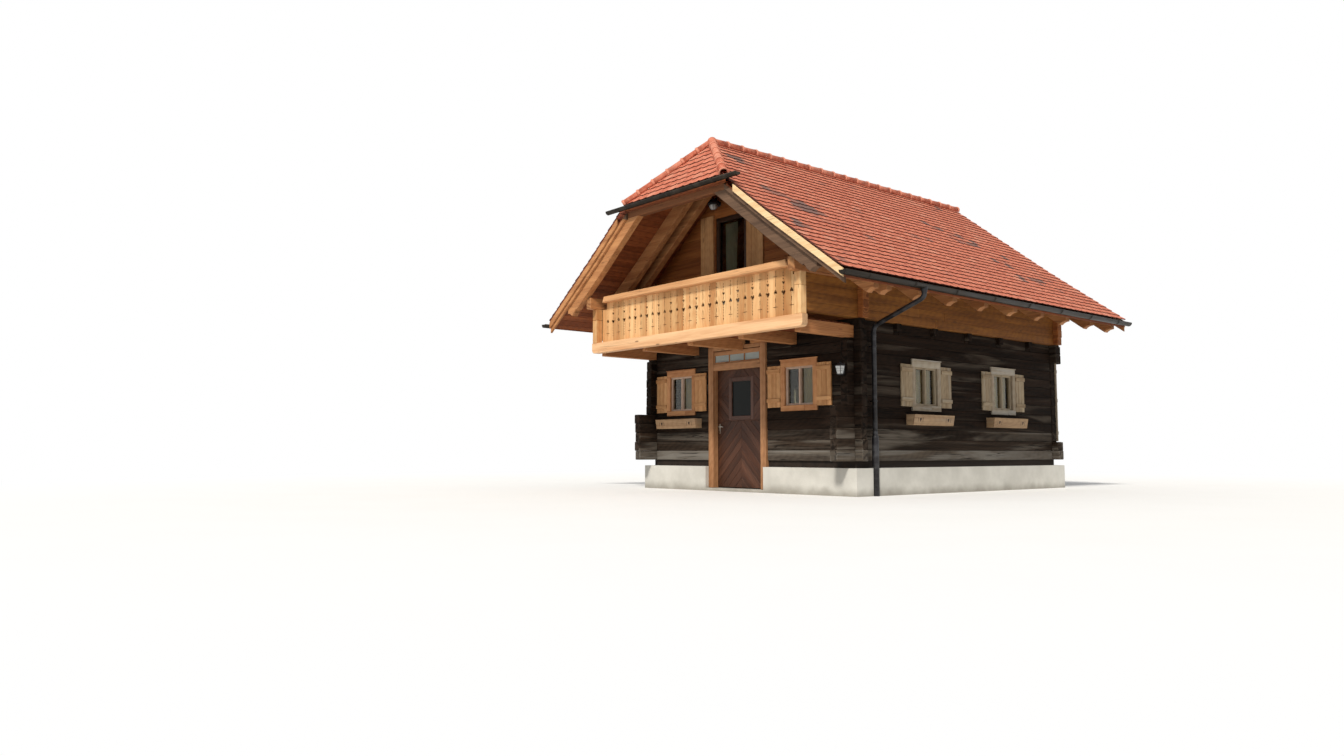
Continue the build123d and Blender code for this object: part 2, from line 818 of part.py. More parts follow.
# Ridge and hip caps, seated on the tiles
ridge_axis = Pos(0, (apex_y + verge_back_y) / 2, ridge_height) * Rot(90, 0, 0)
caps = ridge_axis * Cylinder(cap_radius, verge_back_y - apex_y)
apex = Vector(0, apex_y, ridge_height)
for side in (-1, 1):
    foot = Vector(side * hip_corner(), verge_front_y, hip_eave_height)
    span = apex - foot
    axis_plane = Plane(origin=(apex + foot) / 2, z_dir=span.normalized())
    caps += axis_plane * Cylinder(cap_radius, span.length)
caps += Pos(0, apex_y, ridge_height) * Sphere(cap_radius)
caps -= under_roof(0, eave_from_ridge + 10, verge_front_y - 400, verge_back_y + 10)
caps &= block(-far / 2, far / 2, verge_front_y, verge_back_y, 0, far)
caps = max(caps.solids(), key=lambda s: s.volume)
save("ridge_caps", caps)

# Gutters, half round
def trough(radius, length):
    """A half-round channel along Y, open at the top, with closed ends."""
    shape = Rot(90, 0, 0) * Cylinder(radius, length)
    shape -= Rot(90, 0, 0) * Cylinder(radius - gutter_sheet, length - 2 * gutter_sheet)
    return shape & block(-radius, radius, -length, length, -radius, 0)


side_gutter_top = roof_z(eave_from_ridge, tile_depth) - gutter_drop
side_gutter_x = eave_board_x + seat_gap + gutter_radius
gutter_y0 = verge_front_y - gutter_end_past_verge
gutter_y1 = verge_back_y
gutter_length = gutter_y1 - gutter_y0
gutter_middle_y = (gutter_y0 + gutter_y1) / 2
gutters = []
for side in (-1, 1):
    place = Pos(side * side_gutter_x, gutter_middle_y, side_gutter_top)
    gutters.append(place * trough(gutter_radius, gutter_length))
front_gutter_top = hip_z(verge_front_y, tile_depth) - gutter_drop
front_gutter_y = verge_front_y - seat_gap - front_gutter_radius
gutters.append(
    Pos(0, front_gutter_y, front_gutter_top) * Rot(0, 0, 90)
    * trough(front_gutter_radius, 2 * front_gutter_half_length)
)
save("gutters", *gutters)

# Downpipes with a swan neck, a straight drop and a wider standpipe, held to the wall by two brackets
def pipe(side):
    """One downpipe."""
    outlet_z = side_gutter_top - gutter_radius - seat_gap
    outlet = Vector(side_gutter_x, front_y + pipe_outlet_from_front, outlet_z)
    knee = Vector(pipe_x, front_y + pipe_from_front, pipe_knee)
    neck_top = Vector(outlet.X, outlet.Y, outlet.Z - pipe_neck)
    foot = Vector(pipe_x, knee.Y, standpipe_top)
    path = Polyline(outlet, neck_top, knee, foot)
    section = Plane(origin=outlet, z_dir=(0, 0, -1)) * Circle(pipe_radius)
    run = sweep(section, path=path, transition=Transition.RIGHT)
    stand = Pos(pipe_x, knee.Y, standpipe_top / 2) * Cylinder(standpipe_radius, standpipe_top)
    whole = run + stand
    half = pipe_bracket_size / 2
    for z in pipe_bracket_heights:
        whole += block(half_width, pipe_x, knee.Y - half, knee.Y + half, z - half, z + half)
    return whole if side > 0 else mirror(whole, Plane.YZ)


save("downpipes", pipe(1), pipe(-1))

# Windows, panes, shutters and flower boxes
frames = []
panes = [balcony_pane]
shutters = []
for place in window_places():
    frames.append(placed(window_frame(window_width, window_bottom, window_top), place))
    panes.extend(placed(p, place) for p in window_panes(window_width, window_bottom, window_top))
    for side in (-1, 1):
        leaf = shutter(side, window_width, window_bottom - 10, window_bottom - 10 + shutter_height)
        shutters.append(placed(leaf, place))
frames.append(placed(window_frame(*gable_window), gable_window_place))
panes.extend(placed(p, gable_window_place) for p in window_panes(*gable_window))
for x0, x1, top in balcony_shutters:
    leaf = block(x0, x1, front_y - shutter_thickness, front_y, balcony_sill + balcony_shutter_gap,
                 balcony_sill + top)
    shutters.append(leaf)
save("window_frames", *frames)
save("window_shutters", *shutters)
box_places = [(front_window_centres[0], front_y, 0)]
box_places += [p for p in window_places() if abs(p[2]) == 90]
save("flower_boxes", *[placed(flower_box(), p) for p in box_places])

# Front door frame with its transom light
inner0 = doorway_x0 + jamb_width
inner1 = doorway_x1 - jamb_width
leaf_z0 = ground_floor_top + leaf_bottom_gap
threshold = ground_floor_top - 1
door_frame = block(doorway_x0, doorway_x1, jamb_y0, front_inner_y, ground_floor_top, doorway_top)
door_frame -= block(inner0, inner1, jamb_y0 - 1, front_inner_y + 1, threshold, leaf_top - rebate_width)
rebate0 = inner0 - rebate_width
rebate1 = inner1 + rebate_width
door_frame -= block(rebate0, rebate1, front_y + rebate_start, front_inner_y + 1, threshold, leaf_top)
transom_z0 = leaf_top + transom_rail_height
transom_z1 = doorway_top - transom_head_height
pane_width = (inner1 - inner0 - 2 * transom_bar_width) / 3
glass_y0 = front_y + transom_glass_setback
glass_y1 = glass_y0 + transom_glass_thickness
transom_panes = []
for k in range(3):
    x0 = inner0 + k * (pane_width + transom_bar_width)
    door_frame -= block(x0, x0 + pane_width, jamb_y0 - 1, front_inner_y + 1, transom_z0, transom_z1)
    transom_panes.append(block(x0, x0 + pane_width, glass_y0, glass_y1, transom_z0, transom_z1))
save("door_frame", door_frame)
panes.extend(transom_panes)
save("window_panes", *panes)

# Front door leaf
leaf_y0 = front_y + rebate_start + leaf_clearance
leaf_y1 = leaf_y0 + leaf_thickness
leaf_x0 = rebate0 + free_edge_clearance
leaf_x1 = rebate1 - leaf_clearance
leaf = block(leaf_x0, leaf_x1, leaf_y0, leaf_y1, leaf_z0, leaf_top - leaf_clearance)
window_x0 = door_centre - leaf_window_width / 2
window_x1 = door_centre + leaf_window_width / 2
leaf -= block(window_x0, window_x1, leaf_y0 - 1, leaf_y1 + 1, leaf_window_bottom, leaf_window_top)
hinge_x = leaf_x1 + leaf_clearance / 2
hinge_y = leaf_y1 + hinge_barrel_radius + leaf_clearance
pins = []
for z in hinge_heights:
    upper_z = z + hinge_half_height
    upper_middle = Pos(hinge_x, hinge_y, z + hinge_half_height / 2)
    barrel = upper_middle * Cylinder(hinge_barrel_radius, hinge_half_height)
    plate = block(leaf_x1 - hinge_leaf_length, leaf_x1, leaf_y1, leaf_y1 + hinge_plate_thickness, z, upper_z)
    plate += block(leaf_x1 - hinge_arm_width, leaf_x1, leaf_y1, hinge_y, z, upper_z)
    bore = upper_middle * Cylinder(hinge_pin_radius + hinge_running_clearance, hinge_half_height + 2)
    leaf += plate + barrel
    leaf -= bore
    seat_z = z - hinge_washer
    lower_z = seat_z - hinge_half_height
    lower = Pos(hinge_x, hinge_y, (lower_z + seat_z) / 2) * Cylinder(hinge_barrel_radius, hinge_half_height)
    pin = Pos(hinge_x, hinge_y, z) * Cylinder(hinge_pin_radius, 2 * (hinge_half_height - hinge_pin_short))
    foot = block(rebate1, rebate1 + hinge_leaf_length, front_inner_y, front_inner_y + hinge_plate_thickness,
                 lower_z, seat_z)
    arm = block(rebate1, rebate1 + hinge_arm_width, front_inner_y, hinge_y, lower_z, seat_z)
    pins.append(lower + pin + foot + arm)
save("door_leaf", leaf)
save("door_hinge_pins", *pins)
door_glass_y = leaf_y0 + door_glass_setback
door_glass = block(window_x0, window_x1, door_glass_y, door_glass_y + glass_thickness, leaf_window_bottom,
                   leaf_window_top)
save("door_window", door_glass)

# Door handle on both faces
plate_width, plate_height, plate_depth = handle_plate
handle_x = leaf_x0 + handle_inset
handle_z = ground_floor_top + handle_height
neck_size = plate_width / 4
handle_shapes = []
for face, out in ((leaf_y0, -1), (leaf_y1, 1)):
    plate_y = sorted((face, face + out * plate_depth))
    neck_y = sorted((face, face + out * 7 * plate_depth))
    lever_y = sorted((face + out * 5 * plate_depth, face + out * 7 * plate_depth))
    rose = block(handle_x - plate_width / 2, handle_x + plate_width / 2, *plate_y,
                 handle_z - plate_height * 0.65, handle_z + plate_height * 0.35)
    neck_z = (handle_z - neck_size, handle_z + neck_size)
    neck = block(handle_x - neck_size, handle_x + neck_size, *neck_y, *neck_z)
    lever = block(handle_x, handle_x + handle_lever_length, *lever_y, *neck_z)
    handle_shapes.append(rose + neck + lever)
save("door_handle", *handle_shapes)

# Lamps, a lantern on the right log ends and a globe on the gable
lamp_y1 = front_y - side_log_end_front
lamp_x = half_width - log_thickness / 2
lamp_half = wall_lamp_width / 2
bracket_half = lamp_bracket / 2
lamp_middle = wall_lamp_bottom + wall_lamp_height / 2
lamp_back = lamp_y1 - lamp_bracket_reach
wall_lamp = block(lamp_x - lamp_half, lamp_x + lamp_half, lamp_back - wall_lamp_depth, lamp_back,
                  wall_lamp_bottom, wall_lamp_bottom + wall_lamp_height)
wall_lamp += block(lamp_x - bracket_half, lamp_x + bracket_half, lamp_back, lamp_y1,
                   lamp_middle - bracket_half, lamp_middle + bracket_half)
globe_z = balcony_door_top + globe_over_door
globe = chamfer(Cylinder(globe_radius, 2 * globe_radius).edges().filter_by(GeomType.CIRCLE), globe_chamfer)
globe_y = front_y - globe_from_wall
gable_lamp = Pos(globe_centre_x, globe_y, globe_z) * globe
gable_lamp += block(globe_centre_x - bracket_half, globe_centre_x + bracket_half, globe_y, front_y,
                    globe_z - bracket_half, globe_z + bracket_half)
save("lamps", wall_lamp, gable_lamp)

# Cover board on the back right log ends
cover_y0 = back_y + side_log_end_back
cover_y1 = cover_y0 + cover_board_thickness
cover_x1 = half_width + cover_board_past_wall
save("corner_board", block(inner_x, cover_x1, cover_y0, cover_y1, cover_board_bottom, cover_board_top))
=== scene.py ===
"""Looks of the alpine log chalet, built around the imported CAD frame. Metres, Z up."""

import math
import random

import bmesh
import bpy
import numpy as np
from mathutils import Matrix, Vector


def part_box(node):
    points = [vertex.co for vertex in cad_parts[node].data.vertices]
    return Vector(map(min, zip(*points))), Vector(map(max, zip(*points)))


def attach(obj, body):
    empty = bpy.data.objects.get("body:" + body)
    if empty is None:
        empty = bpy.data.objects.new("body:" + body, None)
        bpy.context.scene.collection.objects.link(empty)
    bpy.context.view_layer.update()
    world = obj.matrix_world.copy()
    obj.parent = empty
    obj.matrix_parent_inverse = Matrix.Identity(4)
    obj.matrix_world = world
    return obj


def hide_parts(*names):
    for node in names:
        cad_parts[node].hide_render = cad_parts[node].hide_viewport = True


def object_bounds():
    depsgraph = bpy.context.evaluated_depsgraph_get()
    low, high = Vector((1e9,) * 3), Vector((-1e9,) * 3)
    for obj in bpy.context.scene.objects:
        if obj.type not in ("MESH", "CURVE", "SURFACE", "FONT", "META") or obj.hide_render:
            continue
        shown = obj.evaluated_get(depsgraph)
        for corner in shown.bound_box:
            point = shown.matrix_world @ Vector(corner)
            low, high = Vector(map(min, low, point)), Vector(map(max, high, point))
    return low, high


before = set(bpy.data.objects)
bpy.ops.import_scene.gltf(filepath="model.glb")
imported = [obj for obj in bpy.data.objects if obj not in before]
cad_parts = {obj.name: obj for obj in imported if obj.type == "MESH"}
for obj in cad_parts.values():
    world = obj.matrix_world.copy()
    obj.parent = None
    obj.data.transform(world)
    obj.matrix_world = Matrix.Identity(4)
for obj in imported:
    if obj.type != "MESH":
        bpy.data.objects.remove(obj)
cad_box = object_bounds()
rng = random.Random(7)

# Places of the house, from the CAD nodes
SIDES = ((1, "right"), (-1, "left"))
CORNERS = ((-1, -1), (1, -1), (1, 1), (-1, 1))
slope_low, slope_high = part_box("roof_tiles_right")
purlin_low, purlin_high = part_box("eave_purlins")
beam_low, beam_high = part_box("balcony_front_beam")
railing_low, railing_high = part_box("balcony_railing")
rail_low, rail_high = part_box("balcony_handrail")
corner_low, corner_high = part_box("corner_board")
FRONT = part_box("front_wall_right")[0].y
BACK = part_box("back_wall")[1].y
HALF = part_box("right_wall")[1].x
VERGE_FRONT = slope_low.y
VERGE_BACK = slope_high.y
RIDGE = slope_high.z
EAVE = slope_high.x
LOG_T = 0.14
INNER = HALF - LOG_T
PLINTH_TOP = 0.5
STOREY_TOP = 2.56
UPPER_OUT = HALF + 0.08
UPPER_IN = UPPER_OUT - LOG_T
PURLIN_BOTTOM = purlin_low.z
PURLIN_TOP = purlin_high.z
PURLIN_X = HALF + 0.055
PURLIN_HALF = 0.065
KICK_X = 2.0
RISE = 0.79
KICK_RISE = 0.745
HIP_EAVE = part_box("roof_tiles_hip")[0].z + 0.055
HIP_RUN = 0.875
TILE_DEPTH = 0.055
BOARD_DEPTH = 0.11
HIP_HALF = (RIDGE - HIP_EAVE) / RISE
APEX_Y = VERGE_FRONT + HIP_RUN
HIP_RISE = (RIDGE - HIP_EAVE) / HIP_RUN


def placed(name, data):
    """A new object in the scene."""
    made = bpy.data.objects.new(name, data)
    bpy.context.scene.collection.objects.link(made)
    return made


# Camera, solved from the photograph
camera_data = bpy.data.cameras.new("camera")
camera = placed("camera", camera_data)
bpy.context.scene.camera = camera
camera_data.sensor_fit = "HORIZONTAL"
camera_data.sensor_width = 36
camera_data.lens = 25.93
yaw = math.radians(49.755)
pitch = math.radians(4.428)
camera.location = (11.189, FRONT - 10.96, 0.619)
look = Vector((-math.sin(yaw) * math.cos(pitch), math.cos(yaw) * math.cos(pitch), math.sin(pitch)))
camera.rotation_euler = look.to_track_quat("-Z", "Y").to_euler()


# Shader helpers

class Shader:
    """Short calls for the nodes used here, on the tree of a material or of the world."""

    def __init__(self, owner):
        owner.use_nodes = True
        self.owner = owner
        self.tree = owner.node_tree
        self.bsdf = self.tree.nodes.get("Principled BSDF")

    def link(self, value, socket):
        if isinstance(value, bpy.types.NodeSocket):
            self.tree.links.new(value, socket)
        elif isinstance(value, (tuple, list)) and socket.type == "RGBA" and len(value) == 3:
            socket.default_value = (*value, 1)
        else:
            socket.default_value = value

    def node(self, kind, *values, **settings):
        """A node with its first inputs filled."""
        made = self.tree.nodes.new(kind)
        for key, value in settings.items():
            setattr(made, key, value)
        for value, socket in zip(values, made.inputs):
            self.link(value, socket)
        return made

    def fill(self, node, **inputs):
        """Values or links for a node's inputs, whose names are written with underscores."""
        for name, value in inputs.items():
            self.link(value, node.inputs[name.replace("_", " ")])

    def place(self):
        return self.node("ShaderNodeTexCoord").outputs["Object"]

    def attribute(self, name, output="Fac"):
        return self.node("ShaderNodeAttribute", attribute_name=name).outputs[output]

    def stretch(self, vector, scale, offset=(0, 0, 0)):
        made = self.node("ShaderNodeMapping", vector)
        self.fill(made, Scale=scale, Location=offset)
        return made.outputs["Vector"]

    def noise(self, vector, scale=1.0, detail=3.0, rough=0.55, warp=0.0):
        made = self.node("ShaderNodeTexNoise")
        self.fill(made, Vector=vector, Scale=scale, Detail=detail, Roughness=rough, Distortion=warp)
        return made.outputs["Fac"]

    def grained(self, vector, along, across, detail=3.0, rough=0.55, warp=0.0, offset=(0, 0, 0)):
        """Noise stretched along the grain."""
        return self.noise(self.stretch(vector, (along, across, across), offset), 1, detail, rough, warp)

    def maths(self, operation, a, b=0.0):
        return self.node("ShaderNodeMath", a, b, operation=operation).outputs[0]

    def span(self, value, low, high, out_low=0.0, out_high=1.0):
        made = self.node("ShaderNodeMapRange", interpolation_type="SMOOTHSTEP")
        self.fill(made, Value=value, From_Min=low, From_Max=high, To_Min=out_low, To_Max=out_high)
        return made.outputs["Result"]

    def mix(self, factor, a, b, blend="MIX"):
        made = self.node("ShaderNodeMix", factor, data_type="RGBA", blend_type=blend)
        self.link(a, made.inputs[6])
        self.link(b, made.inputs[7])
        return made.outputs[2]

    def surface(self, colour, rough, **others):
        self.fill(self.bsdf, Base_Color=colour, Roughness=rough, **others)

    def bump(self, height, distance, strength):
        made = self.node("ShaderNodeBump")
        self.fill(made, Height=height, Distance=distance, Strength=strength)
        self.fill(self.bsdf, Normal=made.outputs["Normal"])

    def seen_by(self, *rays):
        """1 for the given kinds of ray, and 0 for the others."""
        path = self.node("ShaderNodeLightPath").outputs
        seen = path[f"Is {rays[0]} Ray"]
        for ray in rays[1:]:
            seen = self.maths("MAXIMUM", seen, path[f"Is {ray} Ray"])
        return seen

    def output(self, factor, a, b, name):
        """Two shaders mixed into the tree's output."""
        made = self.node("ShaderNodeMixShader", factor, a, b)
        self.link(made.outputs[0], self.tree.nodes[name].inputs["Surface"])


def material(name):
    return Shader(bpy.data.materials.new(name))


def srgb(colour):
    """A colour written in 0 to 255 as linear values."""
    out = []
    for c in colour:
        c /= 255
        out.append(c / 12.92 if c <= 0.04045 else ((c + 0.055) / 1.055) ** 2.4)
    return tuple(out)


def dim(colour, share):
    return tuple(c * share for c in colour)


def wood(name, pale, deep, spread, knots, cracks, rough, grey=None, greying=0.0, relief=0.0015, run=None,
         shine=0.25):
    """Timber with grain along each board's own length, from the mesh's grain attribute, or along one axis."""
    s = material(name)
    pale = srgb(pale)
    deep = srgb(deep)
    if run:
        place = s.node("ShaderNodeSeparateXYZ", s.place())
        grain = s.node("ShaderNodeCombineXYZ", *[place.outputs[axis] for axis in run]).outputs[0]
        tone = s.grained(grain, 0.2, 5, 1)
        end = 0.0
    else:
        grain = s.attribute("grain", "Vector")
        tone = s.attribute("tone")
        end = s.attribute("end_grain_and_edge_shade")
    broad = s.grained(grain, 0.5, 9, 3, 0.6, 0.4)
    fibre = s.grained(grain, 2.5, 90, 4, 0.65)
    waver = s.maths("MULTIPLY", s.grained(grain, 1.1, 6, 2), 0.03)
    radius = s.node("ShaderNodeVectorMath", s.stretch(grain, (0.06, 1, 1)), operation="LENGTH")
    ring = s.maths("SINE", s.maths("MULTIPLY", s.maths("ADD", radius.outputs["Value"], waver), 640))
    ring = s.span(ring, -0.6, 1.0)
    shade = s.maths("ADD", s.maths("MULTIPLY", broad, 0.62), s.maths("MULTIPLY", fibre, 0.38))
    shade = s.maths("SUBTRACT", shade, s.maths("MULTIPLY", ring, 0.045))
    colour = s.mix(s.span(shade, 0.3, 0.68), deep, pale)
    toned = s.mix(1.0, colour, (1.0 - spread, 1.0 - spread * 1.25, 1.0 - spread * 1.5), "MULTIPLY")
    colour = s.mix(tone, toned, colour)
    spot = s.node("ShaderNodeTexVoronoi")
    s.fill(spot, Vector=s.stretch(grain, (2.1, 8.5, 8.5)), Scale=1)
    colour = s.mix(s.span(spot.outputs["Distance"], 0.13, 0.07, 0.0, knots), colour, dim(deep, 0.35))
    if grey:
        patch = s.grained(grain, 0.35, 5, 4, 0.6, 0.8, (3, 1, 2))
        mask = s.span(patch, 0.62 - 0.35 * greying, 0.78 - 0.2 * greying, 0.0, min(1.0, 0.35 + greying))
        colour = s.mix(mask, colour, srgb(grey))
    line = s.grained(grain, 0.55, 21, 2, 0.5, 0.3, (7, 3, 5))
    line = s.maths("ABSOLUTE", s.maths("SUBTRACT", line, 0.5))
    where = s.span(s.grained(grain, 0.8, 3, 1, offset=(5, 5, 1)), 0.45, 0.6)
    crack = s.maths("MULTIPLY", s.span(line, 0.016, 0.004, 0.0, cracks), where)
    colour = s.mix(crack, colour, dim(deep, 0.12))
    colour = s.mix(s.maths("MULTIPLY", end, 0.75), colour, s.mix(ring, dim(pale, 0.62), dim(deep, 0.5)))
    s.surface(colour, s.span(fibre, 0.2, 0.9, rough - 0.1, min(1.0, rough + 0.14)), Specular_IOR_Level=shine)
    height = s.maths("SUBTRACT", s.maths("MULTIPLY", fibre, 0.6), s.maths("MULTIPLY", crack, 1.6))
    s.bump(s.maths("ADD", height, s.maths("MULTIPLY", broad, 0.9)), relief, 0.9)
    return s.owner


def clay(name, pale, deep):
    """Fired roof tile, each with its own tone, soot marks, a sandy face and a dark edge that is dirt with
    painted shadow under the tail.
    """
    s = material(name)
    grain = s.attribute("grain", "Vector")
    tone = s.attribute("tone")
    cloud = s.noise(grain, 14, 4, 0.6)
    sand = s.noise(grain, 420, 2, 0.7)
    colour = s.mix(s.span(cloud, 0.3, 0.72), srgb(deep), srgb(pale))
    for mask, stain in ((s.span(tone, 0.1, 0.42, 0.88, 0.0), (100, 82, 76)),
                        (s.span(tone, 0.66, 1.0, 0.0, 0.5), (216, 152, 126)),
                        (s.span(sand, 0.55, 0.8, 0.0, 0.25), (120, 62, 44)),
                        # Dark rims: dirt with painted shadow under the tile tails.
                        (s.maths("MULTIPLY", s.attribute("end_grain_and_edge_shade"), 0.94), (62, 30, 22))):
        colour = s.mix(mask, colour, srgb(stain))
    s.surface(colour, s.span(cloud, 0.2, 0.8, 0.72, 0.9), Specular_IOR_Level=0.3)
    s.bump(s.maths("ADD", sand, s.maths("MULTIPLY", cloud, 2.5)), 0.0012, 0.7)
    return s.owner


def sheet_metal(name, colour, worn, rough=0.42, metal=0.75):
    """Coated sheet with streaks of dust and wear."""
    s = material(name)
    streak = s.noise(s.stretch(s.place(), (6, 1.5, 9)), 1, 4, 0.6)
    s.surface(s.mix(s.span(streak, 0.4, 0.75), srgb(colour), srgb(worn)),
              s.span(streak, 0.3, 0.8, rough, rough + 0.22), Metallic=metal)
    s.bump(s.noise(s.place(), 160, 3, 0.6), 0.0004, 0.5)
    return s.owner


def glass(name, tint, rough, through, shine=0.5):
    """Window glass with faint streaks."""
    s = material(name)
    tint = srgb(tint)
    smear = s.noise(s.stretch(s.place(), (3, 3, 1.2)), 3, 3, 0.5)
    s.surface(s.mix(s.span(smear, 0.35, 0.7), tint, tuple(min(1.0, c * 1.12) for c in tint)),
              s.span(smear, 0.3, 0.8, rough, rough + 0.06), Transmission_Weight=through, IOR=1.45,
              Specular_IOR_Level=shine)
    return s.owner


def plaster(name, pale, deep, stain):
    """Roughcast base with splash marks low down."""
    s = material(name)
    place = s.place()
    cast = s.noise(place, 55, 5, 0.65)
    height = s.node("ShaderNodeSeparateXYZ", place)
    rise = s.maths("ADD", height.outputs["Z"], s.maths("MULTIPLY", s.noise(place, 4, 3), 0.16))
    colour = s.mix(s.span(s.noise(place, 1.6, 4, 0.6), 0.3, 0.7), srgb(deep), srgb(pale))
    colour = s.mix(s.span(rise, 0.05, 0.24, 0.75, 0.0), colour, srgb(stain))
    s.surface(s.mix(s.span(cast, 0.58, 0.75, 0.0, 0.35), colour, srgb(deep)), 0.93)
    s.bump(cast, 0.006, 0.8)
    return s.owner


def cloth(name, colour):
    """Net curtain."""
    s = material(name)
    colour = srgb(colour)
    weave = s.noise(s.place(), 900, 2, 0.6)
    s.surface(s.mix(s.span(weave, 0.3, 0.7), dim(colour, 0.86), colour), 0.95)
    s.bump(weave, 0.0005, 0.5)
    return s.owner


# Timbers: pale and deep colour, spread of tones, knots, cracks, roughness, then grey patches and their share
LOG = wood("weathered_logs", (50, 38, 30), (20, 15, 11), 0.35, 0.2, 0.9, 0.84, (86, 77, 67), 0.32, 0.004,
           shine=0.08)
LOW_LOG = wood("low_logs", (68, 57, 48), (31, 25, 20), 0.35, 0.2, 0.9, 0.85, (110, 102, 92), 0.45, 0.004,
               shine=0.08)
SILL = wood("sill_logs", (98, 89, 78), (58, 50, 43), 0.3, 0.2, 0.9, 0.86, (118, 113, 105), 0.5, 0.004)
HONEY = wood("warm_timber", (179, 114, 60), (129, 72, 33), 0.26, 0.55, 0.35, 0.68)
# The upper side walls' timber is the warm timber made darker: painted shade of the eaves.
KNEE_PAINTED_SHADE = wood("side_wall_timber_painted_shade", (157, 104, 44), (107, 64, 24), 0.26, 0.55, 0.35, 0.68)
PLANK = wood("shutter_planks", (214, 166, 116), (178, 128, 82), 0.22, 0.55, 0.3, 0.7)
SIDE_PLANK = wood("side_shutter_planks", (180, 162, 134), (136, 117, 92), 0.22, 0.5, 0.3, 0.76,
                  (168, 160, 146), 0.3)
DOOR_WOOD = wood("door_planks", (98, 64, 47), (58, 37, 27), 0.36, 0.3, 0.2, 0.55)
JAMB_WOOD = wood("door_frame_timber", (184, 136, 96), (140, 98, 64), 0.2, 0.6, 0.25, 0.64)
RAILING = wood("railing_boards", (238, 200, 146), (208, 152, 98), 0.44, 0.5, 0.25, 0.6)
HANDRAIL = wood("handrail_timber", (234, 182, 130), (190, 136, 90), 0.2, 0.5, 0.4, 0.66)
BOX_WOOD = wood("flower_box_boards", (184, 154, 120), (142, 114, 86), 0.2, 0.5, 0.3, 0.72,
                (160, 144, 124), 0.3)
BEAM = wood("front_beam_timber", (238, 196, 150), (206, 152, 106), 0.15, 0.85, 0.45, 0.6)
SOFFIT = wood("soffit_boards", (160, 90, 48), (112, 58, 30), 0.3, 0.45, 0.3, 0.7)
RAFTER = wood("rafter_timber", (200, 144, 94), (156, 102, 62), 0.25, 0.5, 0.5, 0.68)
# Grey-brown verge timber: weathering with painted shade, for the right front rafter and the hip plate's ends.
SHADED = wood("verge_timber", (116, 90, 70), (78, 58, 44), 0.2, 0.4, 0.5, 0.78)
# The hip beam's timber is a darker honey: painted shade under the half-hip.
HIP_WOOD_PAINTED_SHADE = wood("hip_beam_timber_painted_shade", (142, 92, 57), (102, 62, 37), 0.2, 0.4, 0.5, 0.72)
BARGE = wood("barge_timber", (242, 214, 168), (214, 174, 124), 0.15, 0.7, 0.3, 0.62)
CASING = wood("window_casing", (206, 152, 104), (164, 110, 70), 0.2, 0.5, 0.3, 0.66)
SASH = wood("window_sash", (206, 184, 166), (170, 142, 122), 0.12, 0.1, 0.1, 0.6)
SIDE_SASH = wood("side_window_sash", (176, 162, 138), (140, 124, 102), 0.12, 0.1, 0.1, 0.65)
PALE_CASING = wood("pale_casing", (188, 178, 160), (146, 130, 110), 0.2, 0.3, 0.3, 0.78, (170, 166, 158), 0.4)
DARK_JOINERY = wood("dark_joinery", (74, 52, 38), (44, 30, 22), 0.2, 0.1, 0.1, 0.5)
DOOR_TRIM = wood("door_window_trim", (96, 69, 58), (68, 47, 39), 0.15, 0.2, 0.1, 0.5)
PLINTH_WOOD = wood("plinth_boards", (52, 42, 34), (30, 24, 20), 0.2, 0.1, 0.4, 0.85, run="YXZ")
FLOOR_WOOD = wood("floor_boards", (160, 112, 70), (118, 78, 46), 0.25, 0.3, 0.2, 0.6, run="YXZ")
TILE = clay("roof_clay", (216, 132, 104), (168, 84, 60))
METAL = sheet_metal("dark_sheet", (40, 34, 28), (64, 57, 49))
PIPE = sheet_metal("dark_pipe", (40, 39, 41), (76, 76, 78), 0.36, 0.6)
HANDLE = sheet_metal("handle_steel", (150, 146, 138), (186, 182, 172), 0.28, 1.0)
CLEAR = glass("window_glass", (196, 192, 170), 0.03, 1.0)
FROSTED = glass("frosted_glass", (176, 186, 182), 0.45, 0.4)
OPAL = glass("lamp_glass", (226, 228, 226), 0.25, 0.35)
# The door glass is near black and lets little light through: painted dark of the unlit inside behind it.
DOOR_GLASS = glass("door_glass", (24, 26, 24), 0.08, 0.1, 0.1)
STONE = plaster("foundation_plaster", (208, 205, 196), (186, 183, 174), (122, 116, 104))
NET = cloth("net_curtain", (206, 194, 152))
PALE_NET = cloth("balcony_curtain", (188, 198, 202))


# Mesh helpers

class Piece:
    """Boards, tiles or fittings gathered into one mesh with grain, tone and end marks."""

    def __init__(self):
        self.points = []
        self.grain = []
        self.faces = []
        self.tone = []
        self.ends = []
        self.slots = []
        self.soft = []

    def add(self, points, faces, grain=None, tone=0.5, ends=None, slot=0, soft=False):
        base = len(self.points)
        count = len(faces)
        self.points.extend(points)
        self.grain.extend(grain or [tuple(p) for p in points])
        self.faces.extend([tuple(base + i for i in f) for f in faces])
        self.tone.extend([tone] * count)
        self.ends.extend(ends if ends is not None else [0.0] * count)
        self.slots.extend([slot] * count)
        self.soft.extend([soft] * count)

    def build(self, name, stands_for, slot, *materials, body="house"):
        mesh = bpy.data.meshes.new(name)
        mesh.from_pydata([tuple(p) for p in self.points], [], self.faces)
        for given in materials:
            mesh.materials.append(given)
        mesh.polygons.foreach_set("material_index", self.slots)
        mesh.polygons.foreach_set("use_smooth", self.soft)
        for label, kind, domain, field, values in (("grain", "FLOAT_VECTOR", "POINT", "vector", self.grain),
                                                   ("tone", "FLOAT", "FACE", "value", self.tone),
                                                   ("end_grain_and_edge_shade", "FLOAT", "FACE", "value", self.ends)):
            marks = mesh.attributes.new(label, kind, domain)
            marks.data.foreach_set(field, np.asarray(values, np.float32).ravel())
        mesh.update()
        made = placed(name, mesh)
        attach(made, body)
        if stands_for:
            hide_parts(*stands_for)
        return made


